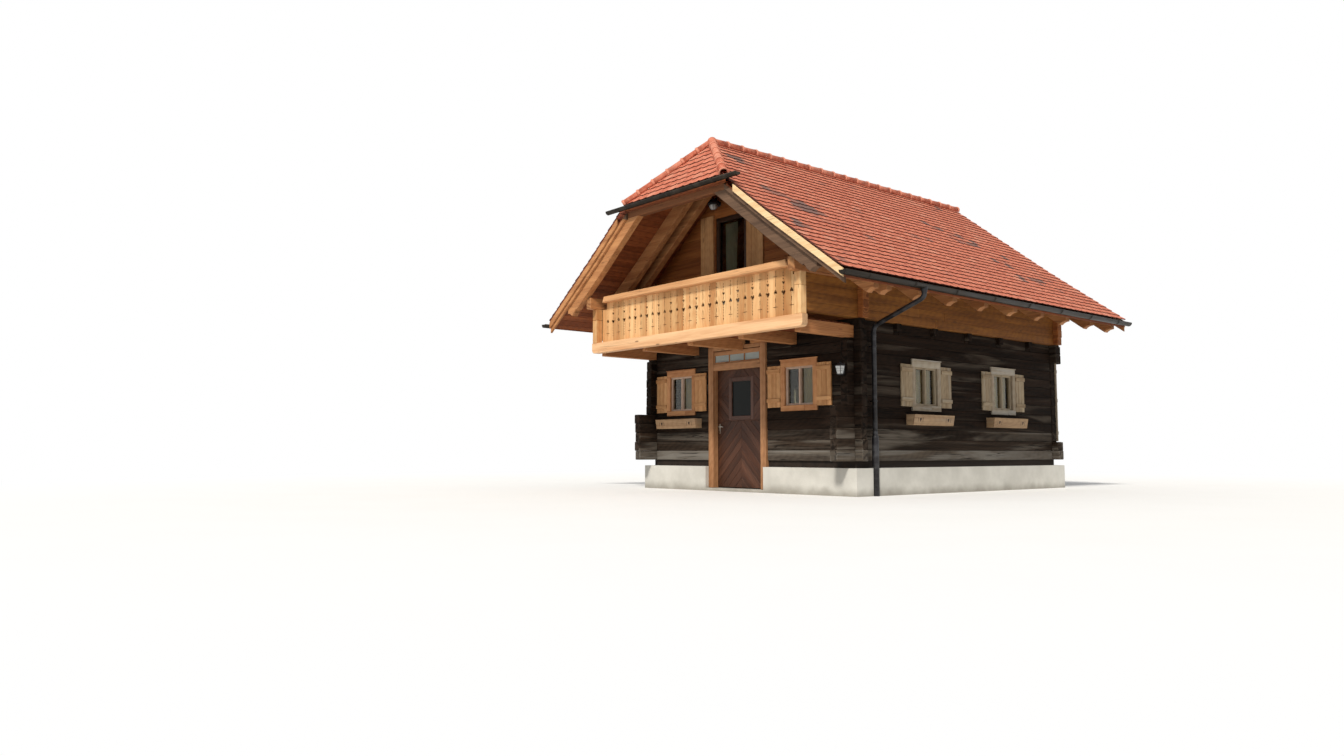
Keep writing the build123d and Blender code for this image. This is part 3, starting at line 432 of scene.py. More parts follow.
def grid(rows, columns, closed=True):
    """Quads between rows of points; closed joins each row's last point to its first."""
    faces = []
    for i in range(rows - 1):
        for k in range(columns if closed else columns - 1):
            a = i * columns + k
            b = i * columns + (k + 1) % columns
            faces.append((a, b, b + columns, a + columns))
    return faces


def lids(rows, columns):
    """The two end faces of a closed grid."""
    last = (rows - 1) * columns
    return [tuple(reversed(range(columns))), tuple(range(last, last + columns))]


def mirror(side, a, b):
    """Two distances from the middle as x on one side, the smaller first."""
    return sorted((side * a, side * b))


def about(middle, reach):
    """A range round its middle."""
    return middle - reach, middle + reach


def arc(centre, radius, start, stop, steps):
    """Points of an arc about a centre, from one angle to another in degrees."""
    angles = [math.radians(start + (stop - start) * k / steps) for k in range(steps + 1)]
    return [(centre[0] + radius * math.cos(a), centre[1] + radius * math.sin(a)) for a in angles]


def around(mean, spread):
    """A random share near a mean."""
    return min(1.0, max(0.0, rng.gauss(mean, spread)))


def smooth_steps(count, size):
    """Slow random changes from 0 to size along a timber."""
    raw = [rng.random() for _ in range(count + 2)]
    return [size * (raw[i] + 2 * raw[i + 1] + raw[i + 2]) / 4 for i in range(count)]


def timber(piece, start, along, side, length, width, depth, bevel=0.004, rings=1, wander=0.0, tone=None,
           slot=0, round_edge=False):
    """A squared timber; start is the middle of its first end, side the direction of its width."""
    along = Vector(along).normalized()
    side = Vector(side).normalized()
    third = along.cross(side)
    start = Vector(start)
    tone = rng.random() if tone is None else tone
    shift = (rng.uniform(0, 60), rng.uniform(-0.5, 0.5) * width, -depth * rng.uniform(0.2, 1.1))
    bevel = min(bevel, width * 0.3, depth * 0.3, length * 0.3)
    stations = [0.0, bevel] + [length * k / rings for k in range(1, rings)] + [length - bevel, length]
    count = len(stations)
    insets = [smooth_steps(count, wander) for _ in range(4)]
    points = []
    grain = []
    turn = 0.29
    for i, s in enumerate(stations):
        tip = bevel if i in (0, count - 1) else 0.0
        a0 = -width / 2 + insets[0][i] + tip
        a1 = width / 2 - insets[1][i] - tip
        b0 = -depth / 2 + insets[2][i] * 0.12 + tip
        b1 = depth / 2 - insets[3][i] * 0.12 - tip
        outline = []
        for ca, cb, da, db in ((a1, b0, -1, 1), (a1, b1, -1, -1), (a0, b1, 1, -1), (a0, b0, 1, 1)):
            corner = [(ca + da * bevel, cb), (ca, cb + db * bevel)]
            if round_edge:
                corner.insert(1, (ca + da * bevel * turn, cb + db * bevel * turn))
            outline.extend(corner if da * db < 0 else corner[::-1])
        for a, b in outline:
            points.append(start + along * s + side * a + third * b)
            grain.append((s + shift[0], a + shift[1], b + shift[2]))
    faces = grid(count, len(outline))
    ends = [0.0] * len(faces) + [1.0, 1.0]
    piece.add(points, faces + lids(count, len(outline)), grain, tone, ends, slot)


def beam(piece, xs, ys, zs, along, **options):
    """A squared timber that fills a box, given by its range in x, y and z, its grain along one of them."""
    low, high = [Vector(corner) for corner in zip(xs, ys, zs)]
    size = high - low
    i = "xyz".index(along)
    direction = [0, 0, 0]
    direction[i] = 1
    side = [(0, 1, 0), (-1, 0, 0), (1, 0, 0)][i]
    width = (size.y, size.x, size.x)[i]
    depth = (size.z, size.z, size.y)[i]
    start = (low + high) / 2
    start[i] = low[i]
    timber(piece, start, direction, side, size[i], width, depth, **options)


def plate(piece, outline, thickness, origin, along, across, bevel=0.0, grain_along=True, tone=None, slot=0,
          shift=None, sawn=False):
    """A flat board of any outline, its points as (along, across) from origin; it grows out of that plane."""
    along = Vector(along).normalized()
    across = Vector(across).normalized()
    out = along.cross(across)
    origin = Vector(origin)
    tone = rng.random() if tone is None else tone
    shift = shift or (rng.uniform(0, 60), rng.uniform(-0.08, 0.08), -rng.uniform(0.01, 0.12))
    area = sum(a[0] * b[1] - b[0] * a[1] for a, b in zip(outline, outline[1:] + outline[:1]))
    if area < 0:
        outline = outline[::-1]
    work = bmesh.new()
    floor = work.faces.new([work.verts.new((a, b, 0)) for a, b in reversed(outline)])
    grown = bmesh.ops.extrude_face_region(work, geom=[floor])
    moved = [v for v in grown["geom"] if isinstance(v, bmesh.types.BMVert)]
    bmesh.ops.translate(work, verts=moved, vec=(0, 0, thickness))
    if len(work.faces) != len(outline) + 2:
        work.faces.new([v for v in floor.verts])
    bmesh.ops.recalc_face_normals(work, faces=work.faces)
    if bevel:
        rims = [e for e in work.edges if abs(e.verts[0].co.z - e.verts[1].co.z) < 1e-6]
        bmesh.ops.bevel(work, geom=rims, offset=bevel, segments=1, profile=0.5, affect="EDGES",
                        clamp_overlap=True)
    big = [f for f in work.faces if len(f.verts) > 4]
    bmesh.ops.triangulate(work, faces=big, ngon_method="EAR_CLIP")
    work.verts.index_update()
    work.normal_update()
    points = []
    grain = []
    for v in work.verts:
        points.append(origin + along * v.co.x + across * v.co.y + out * v.co.z)
        run, wide = (v.co.x, v.co.y) if grain_along else (v.co.y, v.co.x)
        grain.append((run + shift[0], wide + shift[1], v.co.z + shift[2]))
    faces = [tuple(v.index for v in f.verts) for f in work.faces]
    ends = []
    for f in work.faces:
        across_grain = abs(f.normal[0 if grain_along else 1]) > 0.75
        # Sawn rims count as ends and come out darker: weathered edges with painted shade in the cut-outs.
        ends.append(1.0 if across_grain or (sawn and abs(f.normal.z) < 0.3) else 0.0)
    work.free()
    piece.add(points, faces, grain, tone, ends, slot)


def facade(piece, outline, thickness, back, **options):
    """A plate that faces the front, its back at y and its points as (x, z)."""
    plate(piece, outline, thickness, (0, back, 0), (1, 0, 0), (0, 0, 1), **options)


def clip(outline, *keeps):
    """Cuts a polygon by half planes a*x + b*y <= c, each given as (a, b, c); empty where nothing is left."""
    for a, b, c in keeps:
        out = []
        for p, q in zip(outline, outline[1:] + outline[:1]):
            sp = a * p[0] + b * p[1] - c
            sq = a * q[0] + b * q[1] - c
            if sp <= 0:
                out.append(p)
            if sp * sq < 0:
                t = sp / (sp - sq)
                out.append((p[0] + t * (q[0] - p[0]), p[1] + t * (q[1] - p[1])))
        outline = out if len(out) > 2 else []
    return outline


def turned(piece, profile, start, axis=(0, 0, 1), side=(1, 0, 0), sweep=None, steps=16, tone=0.5, slot=0,
           soft=True):
    """A surface turned about an axis from (distance along, radius) points; sweep is its part of a turn."""
    axis = Vector(axis).normalized()
    side = (Vector(side) - axis * Vector(side).dot(axis)).normalized()
    third = axis.cross(side)
    start = Vector(start)
    first, last = sweep or (0.0, 2 * math.pi)
    columns = steps + 1 if sweep else steps
    shift = rng.uniform(0, 60)
    points = []
    grain = []
    for s, r in profile:
        for k in range(columns):
            angle = first + (last - first) * k / steps
            points.append(start + axis * s + side * (r * math.cos(angle)) + third * (r * math.sin(angle)))
            grain.append((s + shift, r * math.cos(angle), r * math.sin(angle)))
    rows = len(profile)
    faces = grid(rows, columns, not sweep)
    if sweep:
        faces.append(tuple(i * columns for i in range(rows - 1)))
        faces.append(tuple(i * columns + columns - 1 for i in reversed(range(rows - 1))))
    piece.add(points, faces, grain, tone, None, slot, soft)


# Roof lines

def roof_z(x, drop=0.0):
    """Height of the tiled slope at a distance from the ridge, lowered by drop."""
    x = abs(x)
    return RIDGE - min(x, KICK_X) * RISE - max(x - KICK_X, 0) * KICK_RISE - drop


SLOPE_LOW = (EAVE - KICK_X) * math.hypot(1, KICK_RISE)
SLOPE_HIGH = KICK_X * math.hypot(1, RISE)
SLOPE = SLOPE_LOW + SLOPE_HIGH


def on_slope(s):
    """(x, z) at a distance s up the slope from the eave."""
    if s < SLOPE_LOW:
        run = s / math.hypot(1, KICK_RISE)
        return EAVE - run, roof_z(EAVE - run)
    run = (s - SLOPE_LOW) / math.hypot(1, RISE)
    return KICK_X - run, RIDGE - (KICK_X - run) * RISE


# Log walls

def cut_out(rects, holes):
    """Takes the holes out of rectangles, all given as (a0, a1, z0, z1)."""
    for h0, h1, k0, k1 in holes:
        out = []
        for a0, a1, z0, z1 in rects:
            if h1 <= a0 or h0 >= a1 or k1 <= z0 or k0 >= z1:
                out.append((a0, a1, z0, z1))
                continue
            if h0 > a0:
                out.append((a0, h0, z0, z1))
            if h1 < a1:
                out.append((h1, a1, z0, z1))
            m0 = max(a0, h0)
            m1 = min(a1, h1)
            if k0 - z0 > 0.004:
                out.append((m0, m1, z0, k0))
            if z1 - k1 > 0.004:
                out.append((m0, m1, k1, z1))
        rects = out
    return rects


def courses(z0, z1, height):
    """Bottom and top of each log course."""
    count = max(1, round((z1 - z0) / height))
    step = (z1 - z0) / count
    return [(z0 + k * step, z0 + (k + 1) * step) for k in range(count)]


def log_wall(piece, along, near, far, levels, reach, holes, slots=None, wander=0.006, bevel=0.011, joints=0):
    """Squared logs of one wall; reach gives each course's two ends, joints how often a course is pieced."""
    for k, (z0, z1) in enumerate(levels):
        start, stop = reach(k, z0, z1)
        rects = cut_out([(start, stop, z0, z1)], holes)
        for _ in range(joints):
            at = rng.uniform(start + 0.8, stop - 0.8)
            rects = cut_out(rects, [(at, at + 0.003, z0, z1)])
        tone = rng.random()
        slot = slots(k) if slots else 0
        for a0, a1, b0, b1 in rects:
            tone = rng.random() if joints else tone
            sides = [(a0, a1), (near, far)]
            beam(piece, *(sides if along == "x" else sides[::-1]), (b0, b1), along, bevel=bevel,
                 rings=max(1, round((a1 - a0) / 0.3)), wander=wander, tone=tone, slot=slot, round_edge=True)


WINDOW_HALF = 0.3
WINDOW_Z = (1.33, 1.95)
FRONT_WINDOWS = (-1.5, 1.235)
SIDE_WINDOWS = (FRONT + 1.72, FRONT + 3.91)
DOOR_X = (-0.785, 0.545)
DOOR_TOP = 2.37
CONSOLE_Z = (2.28, 2.46)
CONSOLE_X = [-2.24 + k * 1.12 for k in range(5)]
JOIST_Y = [FRONT + 1.0 + k * 0.94 for k in range(5)]
JOIST_Z = (STOREY_TOP - 0.115, STOREY_TOP)
BALCONY_DOOR = (-0.62, 0.11, 2.59, 4.56)
GABLE_WINDOW = (-0.3, 0.3, 3.45, 4.05)
TIMBER_HALF = 0.06
LAP = 0.13
SAWN = 0.03
ground_levels = courses(PLINTH_TOP, STOREY_TOP, 0.158)
upper_levels = courses(STOREY_TOP, PURLIN_BOTTOM, 0.145)


def which_log(k):
    """Material slot of a ground storey course, paler and greyer low down."""
    return (1, 2, 2)[k] if k < 3 else 0


def front_reach(k, z0, z1):
    """Ends of a front wall's log, lapped over the side walls."""
    return -HALF - LAP + rng.uniform(0, SAWN), HALF + LAP - rng.uniform(0, SAWN)


def back_reach(k, z0, z1):
    """Ends of a back wall's log, sawn off flush where the corner board stands."""
    flush = z0 > corner_low.z - 0.02 and z1 < corner_high.z + 0.02
    right = HALF + 0.004 if flush else HALF + LAP - rng.uniform(0, SAWN)
    return -HALF - LAP + rng.uniform(0, SAWN), right


def side_reach(k, z0, z1):
    """Ends of a side wall's log, longer in the low courses in front and at the sill behind."""
    if k < 5:
        front = FRONT - 0.42 + rng.uniform(0, 0.03)
    elif z1 > CONSOLE_Z[0] + 0.02:
        front = FRONT
    else:
        front = FRONT - 0.16 + rng.uniform(0, 0.02)
    back = BACK + (0.27 if k < 2 or k >= len(ground_levels) - 2 else 0.03) - rng.uniform(0, 0.01)
    return front, back


def ground_wall(name, stands_for, along, near, far, reach, holes):
    """One wall of the ground storey."""
    piece = Piece()
    log_wall(piece, along, near, far, ground_levels, reach, holes, which_log)
    piece.build(name, stands_for, "weathered_logs", LOG, SILL, LOW_LOG)


front_holes = [(*about(x, WINDOW_HALF), *WINDOW_Z) for x in FRONT_WINDOWS]
front_holes.append((*DOOR_X, 0, DOOR_TOP))
front_holes += [(*about(x, TIMBER_HALF), *CONSOLE_Z) for x in CONSOLE_X[1:-1]]
lap_holes = [(FRONT, FRONT + LOG_T, 0, 9), (BACK - LOG_T, BACK, 0, 9)]
side_holes = [(*about(y, WINDOW_HALF), *WINDOW_Z) for y in SIDE_WINDOWS] + lap_holes
side_holes += [(*about(y, TIMBER_HALF), *JOIST_Z) for y in JOIST_Y]
ground_wall("front_logs", ("front_wall_left", "front_wall_right", "front_wall_over_door"), "x", FRONT,
            FRONT + LOG_T, front_reach, front_holes)
ground_wall("back_logs", ("back_wall",), "x", BACK - LOG_T, BACK, back_reach,
            [(-WINDOW_HALF, WINDOW_HALF, *WINDOW_Z)])
for side, name in SIDES:
    ground_wall(f"{name}_logs", (f"{name}_wall",), "y", *mirror(side, INNER, HALF), side_reach, side_holes)

for side, name in SIDES:
    piece = Piece()
    log_wall(piece, "y", *mirror(side, UPPER_IN, UPPER_OUT), upper_levels,
             lambda k, z0, z1: (railing_low.y + 0.025, BACK + 0.03 - rng.uniform(0, 0.01)), lap_holes, None,
             0.003, 0.006, 2)
    # The upper side walls take the darker timber, which is painted shade of the eaves.
    piece.build(f"upper_{name}_logs", (f"upper_{name}_wall",), "warm_timber", KNEE_PAINTED_SHADE)


def gable(name, y0, y1, holes, outside):
    """A gable wall of logs, with the upper courses cut to the roof's slope."""
    piece = Piece()
    past = UPPER_OUT + 0.1
    log_wall(piece, "x", y0, y1, upper_levels,
             lambda k, z0, z1: (-past + rng.uniform(0, 0.02), past - rng.uniform(0, 0.02)), holes, None,
             0.003, 0.006)
    top = RIDGE - TILE_DEPTH - BOARD_DEPTH
    purlin_holes = [(*about(x, PURLIN_HALF), PURLIN_BOTTOM, PURLIN_TOP) for x in (-PURLIN_X, PURLIN_X)]
    for z0, z1 in courses(PURLIN_BOTTOM, top, 0.145):
        tone = rng.random()
        for a0, a1, b0, b1 in cut_out([(-UPPER_OUT, UPPER_OUT, z0, z1)], holes + purlin_holes):
            outline = clip([(a0, b0), (a1, b0), (a1, b1), (a0, b1)], (-RISE, 1, top), (RISE, 1, top))
            if outline:
                facade(piece, outline, y1 - y0, y1, bevel=0.005, tone=tone)
    piece.build(name, (outside,), "warm_timber", HONEY)


gable("front_gable_logs", FRONT, FRONT + LOG_T, [BALCONY_DOOR], "front_gable_wall")
gable("back_gable_logs", BACK - LOG_T, BACK, [GABLE_WINDOW], "back_gable_wall")


# Roof tiles

TILE_WIDE = 0.1796
TILE_LONG = 0.25
TILE_THICK = 0.014
TILE_GAP = 0.0015
TAIL = 0.042
TAIL_STEPS = 7
TILE_ROWS = 29
HIP_ROWS = 9
HIP_COLUMNS = 15


def tile_outline():
    """Beaver-tail tile seen from above: (across, up the slope), its rounded tail at the origin."""
    half = TILE_WIDE / 2 - TILE_GAP
    tail = []
    for k in range(TAIL_STEPS + 1):
        t = -1 + 2 * k / TAIL_STEPS
        tail.append((t * half, TAIL * (1 - math.sqrt(max(0.0, 1 - (0.96 * t) ** 2)))))
    return tail + [(half, TILE_LONG), (-half, TILE_LONG)]


def lay_tile(piece, where, across, up, out, cuts, tone, flip=False):
    """One tile; where is its tail's middle, and cuts are half planes in the tile's own plane."""
    outline = clip(tile_outline(), *cuts)
    if not outline:
        return
    tilt = TILE_THICK / 0.15
    yaw_off = rng.uniform(-0.006, 0.006)
    lift = rng.uniform(-0.0015, 0.0)
    points = []
    grain = []
    shift = Vector((rng.uniform(0, 40), rng.uniform(0, 40), rng.uniform(0, 40)))
    for level in (0.0, -TILE_THICK):
        for a, b in outline:
            p = where + across * (a + yaw_off * b) + up * b + out * (level - tilt * b + lift)
            p.y = min(max(p.y, VERGE_FRONT), VERGE_BACK)
            points.append(p)
            grain.append(Vector((a, b, level)) + shift)
    n = len(outline)
    faces = [tuple(range(n)), tuple(reversed(range(n, 2 * n)))]
    for k in range(n):
        m = (k + 1) % n
        faces.append((k, n + k, n + m, m))
    if flip:
        faces = [tuple(reversed(f)) for f in faces]
    # The rims are marked as ends, which the clay darkens: dirt with painted shadow under the tails.
    piece.add(points, faces, grain, tone, [0.0, 0.0] + [1.0] * n)


# Weathered spots: middle behind the front wall and up the slope, reach both ways, share of dark tiles
DARK_SPOTS = ((-0.7, 2.4, 0.28, 0.18, 0.85), (-0.38, 2.0, 0.32, 0.24, 0.85), (-1.1, 1.24, 0.18, 0.12, 0.85),
              (-0.52, 3.6, 0.2, 0.12, 0.8), (3.7, 2.8, 0.35, 0.16, 0.6), (4.2, 2.35, 0.55, 0.26, 0.45),
              (4.65, 1.7, 0.45, 0.32, 0.45), (4.6, 0.95, 0.5, 0.2, 0.35), (2.4, 1.9, 0.5, 0.1, 0.3))


def patch_tone(y, s):
    """Darker weathered tiles gathered in a few spots of the slope."""
    tone = around(0.62, 0.13)
    for cy, cs, ry, rs, share in DARK_SPOTS:
        d = math.hypot((y - FRONT - cy) / ry, (s - cs) / rs)
        if d < 1 and rng.random() < share:
            tone = rng.uniform(0.0, 0.28)
    return tone


def tile_slope(side, name):
    """All tiles of one slope."""
    piece = Piece()
    columns = round((VERGE_BACK - VERGE_FRONT) / TILE_WIDE)
    for row in range(TILE_ROWS):
        s = row * (SLOPE / TILE_ROWS)
        x, z = on_slope(s)
        x2, z2 = on_slope(min(s + TILE_LONG, SLOPE))
        if row == TILE_ROWS - 1:
            x2, z2 = x - 1, z + RISE
        up = Vector((side * (x2 - x), 0, z2 - z)).normalized()
        out = Vector((side * up.z, 0, abs(up.x)))
        for column in range(columns + row % 2):
            y = VERGE_FRONT + (column + 0.5 - row % 2 / 2) * TILE_WIDE
            cuts = [(-1, 0, y - VERGE_FRONT), (1, 0, VERGE_BACK - y), (0, 1, SLOPE - s - 0.004)]
            if x < HIP_HALF + 0.2:
                lean = HIP_RUN / HIP_HALF
                start = VERGE_FRONT + HIP_RUN - x * lean
                cuts.append((-1, lean * abs(up.x), y - start))
            where = Vector((side * x, y, z))
            lay_tile(piece, where, Vector((0, 1, 0)), up, out, cuts, patch_tone(y, s), side > 0)
    piece.build(f"tiles_{name}", (f"roof_tiles_{name}",), "clay_tiles", TILE)


def tile_hip():
    """Tiles of the half-hip."""
    piece = Piece()
    total = math.hypot(HIP_RUN, RIDGE - HIP_EAVE)
    up = Vector((0, HIP_RUN, RIDGE - HIP_EAVE)).normalized()
    across = Vector((1, 0, 0))
    out = Vector((0, -up.z, up.y))
    lean = HIP_HALF / total
    for row in range(HIP_ROWS):
        s = row * (total / HIP_ROWS)
        where = Vector((0, VERGE_FRONT, HIP_EAVE)) + up * s
        for column in range(HIP_COLUMNS):
            x = (column - (HIP_COLUMNS - 1) / 2 + row % 2 / 2) * TILE_WIDE
            edge = HIP_HALF - s * lean
            cuts = [(1, lean, edge - x), (-1, lean, edge + x), (0, 1, total - s)]
            lay_tile(piece, where + across * x, across, up, out, cuts, around(0.66, 0.13))
    piece.build("tiles_hip", ("roof_tiles_hip",), "clay_tiles", TILE)


for side, name in SIDES:
    tile_slope(side, name)
tile_hip()

# Ridge and hip caps
CAP = 0.077
CAP_SWEEP = (math.radians(-39), math.radians(219))
CAP_COUNT = 21
HIP_CAPS = 6
CAP_LAP = 0.02


def cap_tile(piece, wide_end, narrow_end):
    """One half-round cap, its collar at the wide end."""
    tone = around(0.72, 0.15)
    axis = wide_end - narrow_end
    length = axis.length - 0.001
    side = Vector((0, 0, 1)).cross(axis).normalized()
    shell = [(0.0, 0.058), (length - 0.04, 0.066), (length - 0.04, 0.052), (length * 0.5, 0.05), (0.0, 0.046),
             (0.0, 0.058)]
    turned(piece, shell, narrow_end, axis, side, CAP_SWEEP, 14, tone)
    collar = [(0.045, 0.064), (0.036, CAP - 0.002), (0.018, CAP), (0.004, CAP - 0.003), (0, CAP - 0.006),
              (0, 0.056), (0.045, 0.056), (0.045, 0.064)]
    # The collar takes the palest tone: pale mortar with a painted highlight.
    turned(piece, [(length - s, r) for s, r in collar], narrow_end, axis, side, CAP_SWEEP, 14, 1.0)


caps = Piece()
apex = Vector((0, APEX_Y, RIDGE))
cap_pitch = (VERGE_BACK - APEX_Y) / CAP_COUNT
for k in range(CAP_COUNT):
    y0 = APEX_Y + k * cap_pitch - CAP_LAP
    y1 = min(APEX_Y + (k + 1) * cap_pitch + CAP_LAP, VERGE_BACK)
    cap_tile(caps, Vector((0, y1, RIDGE)), Vector((0, y0, RIDGE)))
for side in (-1, 1):
    run = Vector((side * HIP_HALF, VERGE_FRONT + 0.004, HIP_EAVE)) - apex
    for k in range(HIP_CAPS):
        low = apex + run * ((k + 1) / HIP_CAPS)
        cap_tile(caps, low, apex + run * (k / HIP_CAPS) + run.normalized() * (CAP_LAP if k == 0 else -0.03))
dome = [(-CAP * math.cos(a), CAP * math.sin(a)) for a in [math.pi * k / 14 for k in range(8)]]
turned(caps, dome, apex, (0, 0, -1), steps=20, tone=0.75)
caps.build("ridge_and_hip_caps", ("ridge_caps",), "clay_tiles", TILE)

# Under side of the roof

BOARD_WIDE = 0.118
BOARD_THICK = 0.022
BOARD_MIDDLE = BOARD_THICK * 0.65
SOFFIT_DROP = TILE_DEPTH + BOARD_DEPTH
EAVE_BOARD = EAVE - 0.035
FASCIA_DROP = TILE_DEPTH + 0.008
BARGE_THICK = 0.03
BARGE_FRONT = VERGE_FRONT + BARGE_THICK
BARGE_BACK = VERGE_BACK - BARGE_THICK


def hip_z(y, drop=0.0):
    """Height of the half-hip at y, lowered by drop."""
    return HIP_EAVE + (y - VERGE_FRONT) * HIP_RISE - drop


def soffit(side, name):
    """Boards along the eaves that show from below, and the fascia at their edge."""
    piece = Piece()
    first = (EAVE - EAVE_BOARD) * math.hypot(1, KICK_RISE)
    for k in range(int((SLOPE - first) / BOARD_WIDE)):
        s0 = first + k * BOARD_WIDE
        x0, z0 = on_slope(s0)
        x1, z1 = on_slope(s0 + BOARD_WIDE)
        z = (z0 + z1) / 2 - SOFFIT_DROP + BOARD_MIDDLE
        y = BARGE_FRONT + max(0.0, HIP_RUN * (1 - x1 / HIP_HALF))
        breaks = [y, rng.uniform(FRONT - 0.2, FRONT + 1.2), rng.uniform(FRONT + 2.4, FRONT + 4.2), BARGE_BACK]
        for y0, y1 in zip(breaks[:-1], breaks[1:]):
            timber(piece, (side * ((x0 + x1) / 2), y0, z), (0, 1, 0), (side * (x1 - x0), 0, z1 - z0),
                   y1 - y0 - 0.002, BOARD_WIDE - 0.002, BOARD_THICK, bevel=0.003)
    beam(piece, mirror(side, EAVE_BOARD, EAVE_BOARD - BOARD_THICK), (BARGE_FRONT, BARGE_BACK),
         (roof_z(EAVE_BOARD, SOFFIT_DROP), roof_z(EAVE_BOARD, FASCIA_DROP)), "y")
    piece.build(f"soffit_{name}", (f"roof_boards_{name}",), "brown_boards", SOFFIT)


def soffit_hip():
    """Boards under the half-hip."""
    piece = Piece()
    up = Vector((0, HIP_RUN, RIDGE - HIP_EAVE))
    total = up.length
    up.normalize()
    first = BARGE_THICK / HIP_RUN * total
    for k in range(int((total - first) / BOARD_WIDE)):
        s = first + (k + 0.5) * BOARD_WIDE
        half = HIP_HALF * (1 - (s + BOARD_WIDE / 2) / total)
        middle = Vector((0, VERGE_FRONT, HIP_EAVE - SOFFIT_DROP + BOARD_MIDDLE)) + up * s
        timber(piece, middle - Vector((half, 0, 0)), (1, 0, 0), up, 2 * half, BOARD_WIDE - 0.002, BOARD_THICK,
               bevel=0.003)
    beam(piece, (-HIP_HALF, HIP_HALF), (BARGE_FRONT, BARGE_FRONT + BOARD_THICK),
         (hip_z(BARGE_FRONT, SOFFIT_DROP), hip_z(BARGE_FRONT, FASCIA_DROP)), "x")
    piece.build("soffit_hip", ("roof_boards_hip",), "brown_boards", SOFFIT)


for side, name in SIDES:
    soffit(side, name)
soffit_hip()

# Rafters
RAFTER_DEPTH = 0.285
RAFTER_WIDE = 0.12
TAIL_X = EAVE - 0.2
FRONT_TAIL_X = EAVE - 0.52
SCOOP = 0.15
NOSE = 0.07
FRONT_RAFTER_Y = FRONT - 1.39
BACK_RAFTER_Y = VERGE_BACK - 0.13
RAFTER_Y = [FRONT - 0.63, FRONT - 0.35] + [FRONT + 0.38 + k * 0.82 for k in range(7)] + [BACK_RAFTER_Y]
HIP_PLATE_BOTTOM = HIP_EAVE - 0.22
HIP_PLATE_HALF = HIP_HALF + 0.06


def rafter_outline(tail, nose):
    """Side view of a rafter as (distance from the ridge, height), with its hollowed tail."""
    low_drop = SOFFIT_DROP + RAFTER_DEPTH
    corner = roof_z(tail, low_drop)
    points = [(x, roof_z(x, SOFFIT_DROP)) for x in (0, KICK_X, tail)]
    for k in range(8):
        angle = math.radians(58 * k / 7)
        points.append((tail - SCOOP * 0.95 * math.sin(angle),
                       corner + SCOOP * (0.2 + 0.75 * math.cos(angle))))
    if nose:
        middle = tail - SCOOP - nose
        line = corner + (tail - middle) * KICK_RISE
        for k in range(7):
            angle = math.pi * k / 6
            points.append((middle + nose * (0.5 * math.cos(angle) - 0.1 * math.sin(angle)),
                           line - nose * 0.5 * KICK_RISE * math.cos(angle) + nose * 0.45 * math.sin(angle)))
    return points + [(x, roof_z(x, low_drop)) for x in (KICK_X, 0)]


def layer(marks, top, bottom):
    """A strip under the slope between two drops, through the given distances from the ridge."""
    return [(x, roof_z(x, top)) for x in marks] + [(x, roof_z(x, bottom)) for x in marks[::-1]]


def slope_plate(piece, outline, side, y, wide, **options):
    """A board standing upright across the house, drawn as (distance from the ridge, height)."""
    plate(piece, outline, wide, (0, y + side * wide / 2, 0), (side, 0, 0), (0, 0, 1), **options)


def rafter_set(side, name):
    """Rafters of one slope with the two flat ones at the verges."""
    piece = Piece()
    # The right slope's front rafter and front verge strip take the grey-brown verge timber: painted shade
    # with some weathering.
    right = 1 if side > 0 else 0
    for y in RAFTER_Y:
        slope_plate(piece, rafter_outline(TAIL_X, 0), side, y, RAFTER_WIDE, bevel=0.005)
    front = clip(rafter_outline(FRONT_TAIL_X, NOSE), (0, 1, HIP_PLATE_BOTTOM))
    slope_plate(piece, front, side, FRONT_RAFTER_Y, RAFTER_WIDE, bevel=0.006, slot=right, tone=0.8)
    for y in (BARGE_FRONT + 0.02, BARGE_BACK - 0.02):
        strip = layer((0, KICK_X, EAVE_BOARD), SOFFIT_DROP, SOFFIT_DROP + 0.075)
        if y < 0:
            strip = clip(strip, (0, 1, HIP_PLATE_BOTTOM), (-1, 0, -HIP_HALF))
        slope_plate(piece, strip, side, y, 0.04, bevel=0.003, slot=right if y < 0 else 0)
    piece.build(f"rafters_{name}_set", (f"rafters_{name}",), "warm_timber", RAFTER, SHADED)


for side, name in SIDES:
    rafter_set(side, name)

# Barge boards and the plate under the half-hip, whose ends show beside the gutter in weathered timber with
# painted shade
BARGE_TOP_X = 1.37
barges = Piece()
for side in (1, -1):
    for y, inner in ((VERGE_FRONT + BARGE_THICK / 2, HIP_HALF), (VERGE_BACK - BARGE_THICK / 2, 0.0)):
        strip = layer((inner, KICK_X, EAVE_BOARD), TILE_DEPTH, SOFFIT_DROP)
        if y < 0:
            strip = clip(strip, (-1, 0, -BARGE_TOP_X))
        slope_plate(barges, strip, side, y, BARGE_THICK, bevel=0.004, tone=rng.uniform(0.7, 1.0),
                    slot=0 if side > 0 else 1)
barges.build("barge_boards_cut", ("barge_boards",), "pale_larch", BARGE, RAFTER)

hip_beam = Piece()
plate_y0 = FRONT_RAFTER_Y - RAFTER_WIDE / 2
plate_top = hip_z(plate_y0, SOFFIT_DROP)


def plate_strip(x0, x1, bottom):
    """Front view of a board under the half-hip."""
    return [(x0, bottom), (x1, bottom), (x1, plate_top), (x0, plate_top)]


# The plate's darker timber is painted shade under the half-hip.
under_boards = RIDGE - SOFFIT_DROP
strip = plate_strip(-HIP_PLATE_HALF, HIP_PLATE_HALF, HIP_PLATE_BOTTOM)
strip = clip(strip, (RISE, 1, under_boards), (-RISE, 1, under_boards))
facade(hip_beam, strip, RAFTER_WIDE, plate_y0 + RAFTER_WIDE, bevel=0.006, tone=0.6)
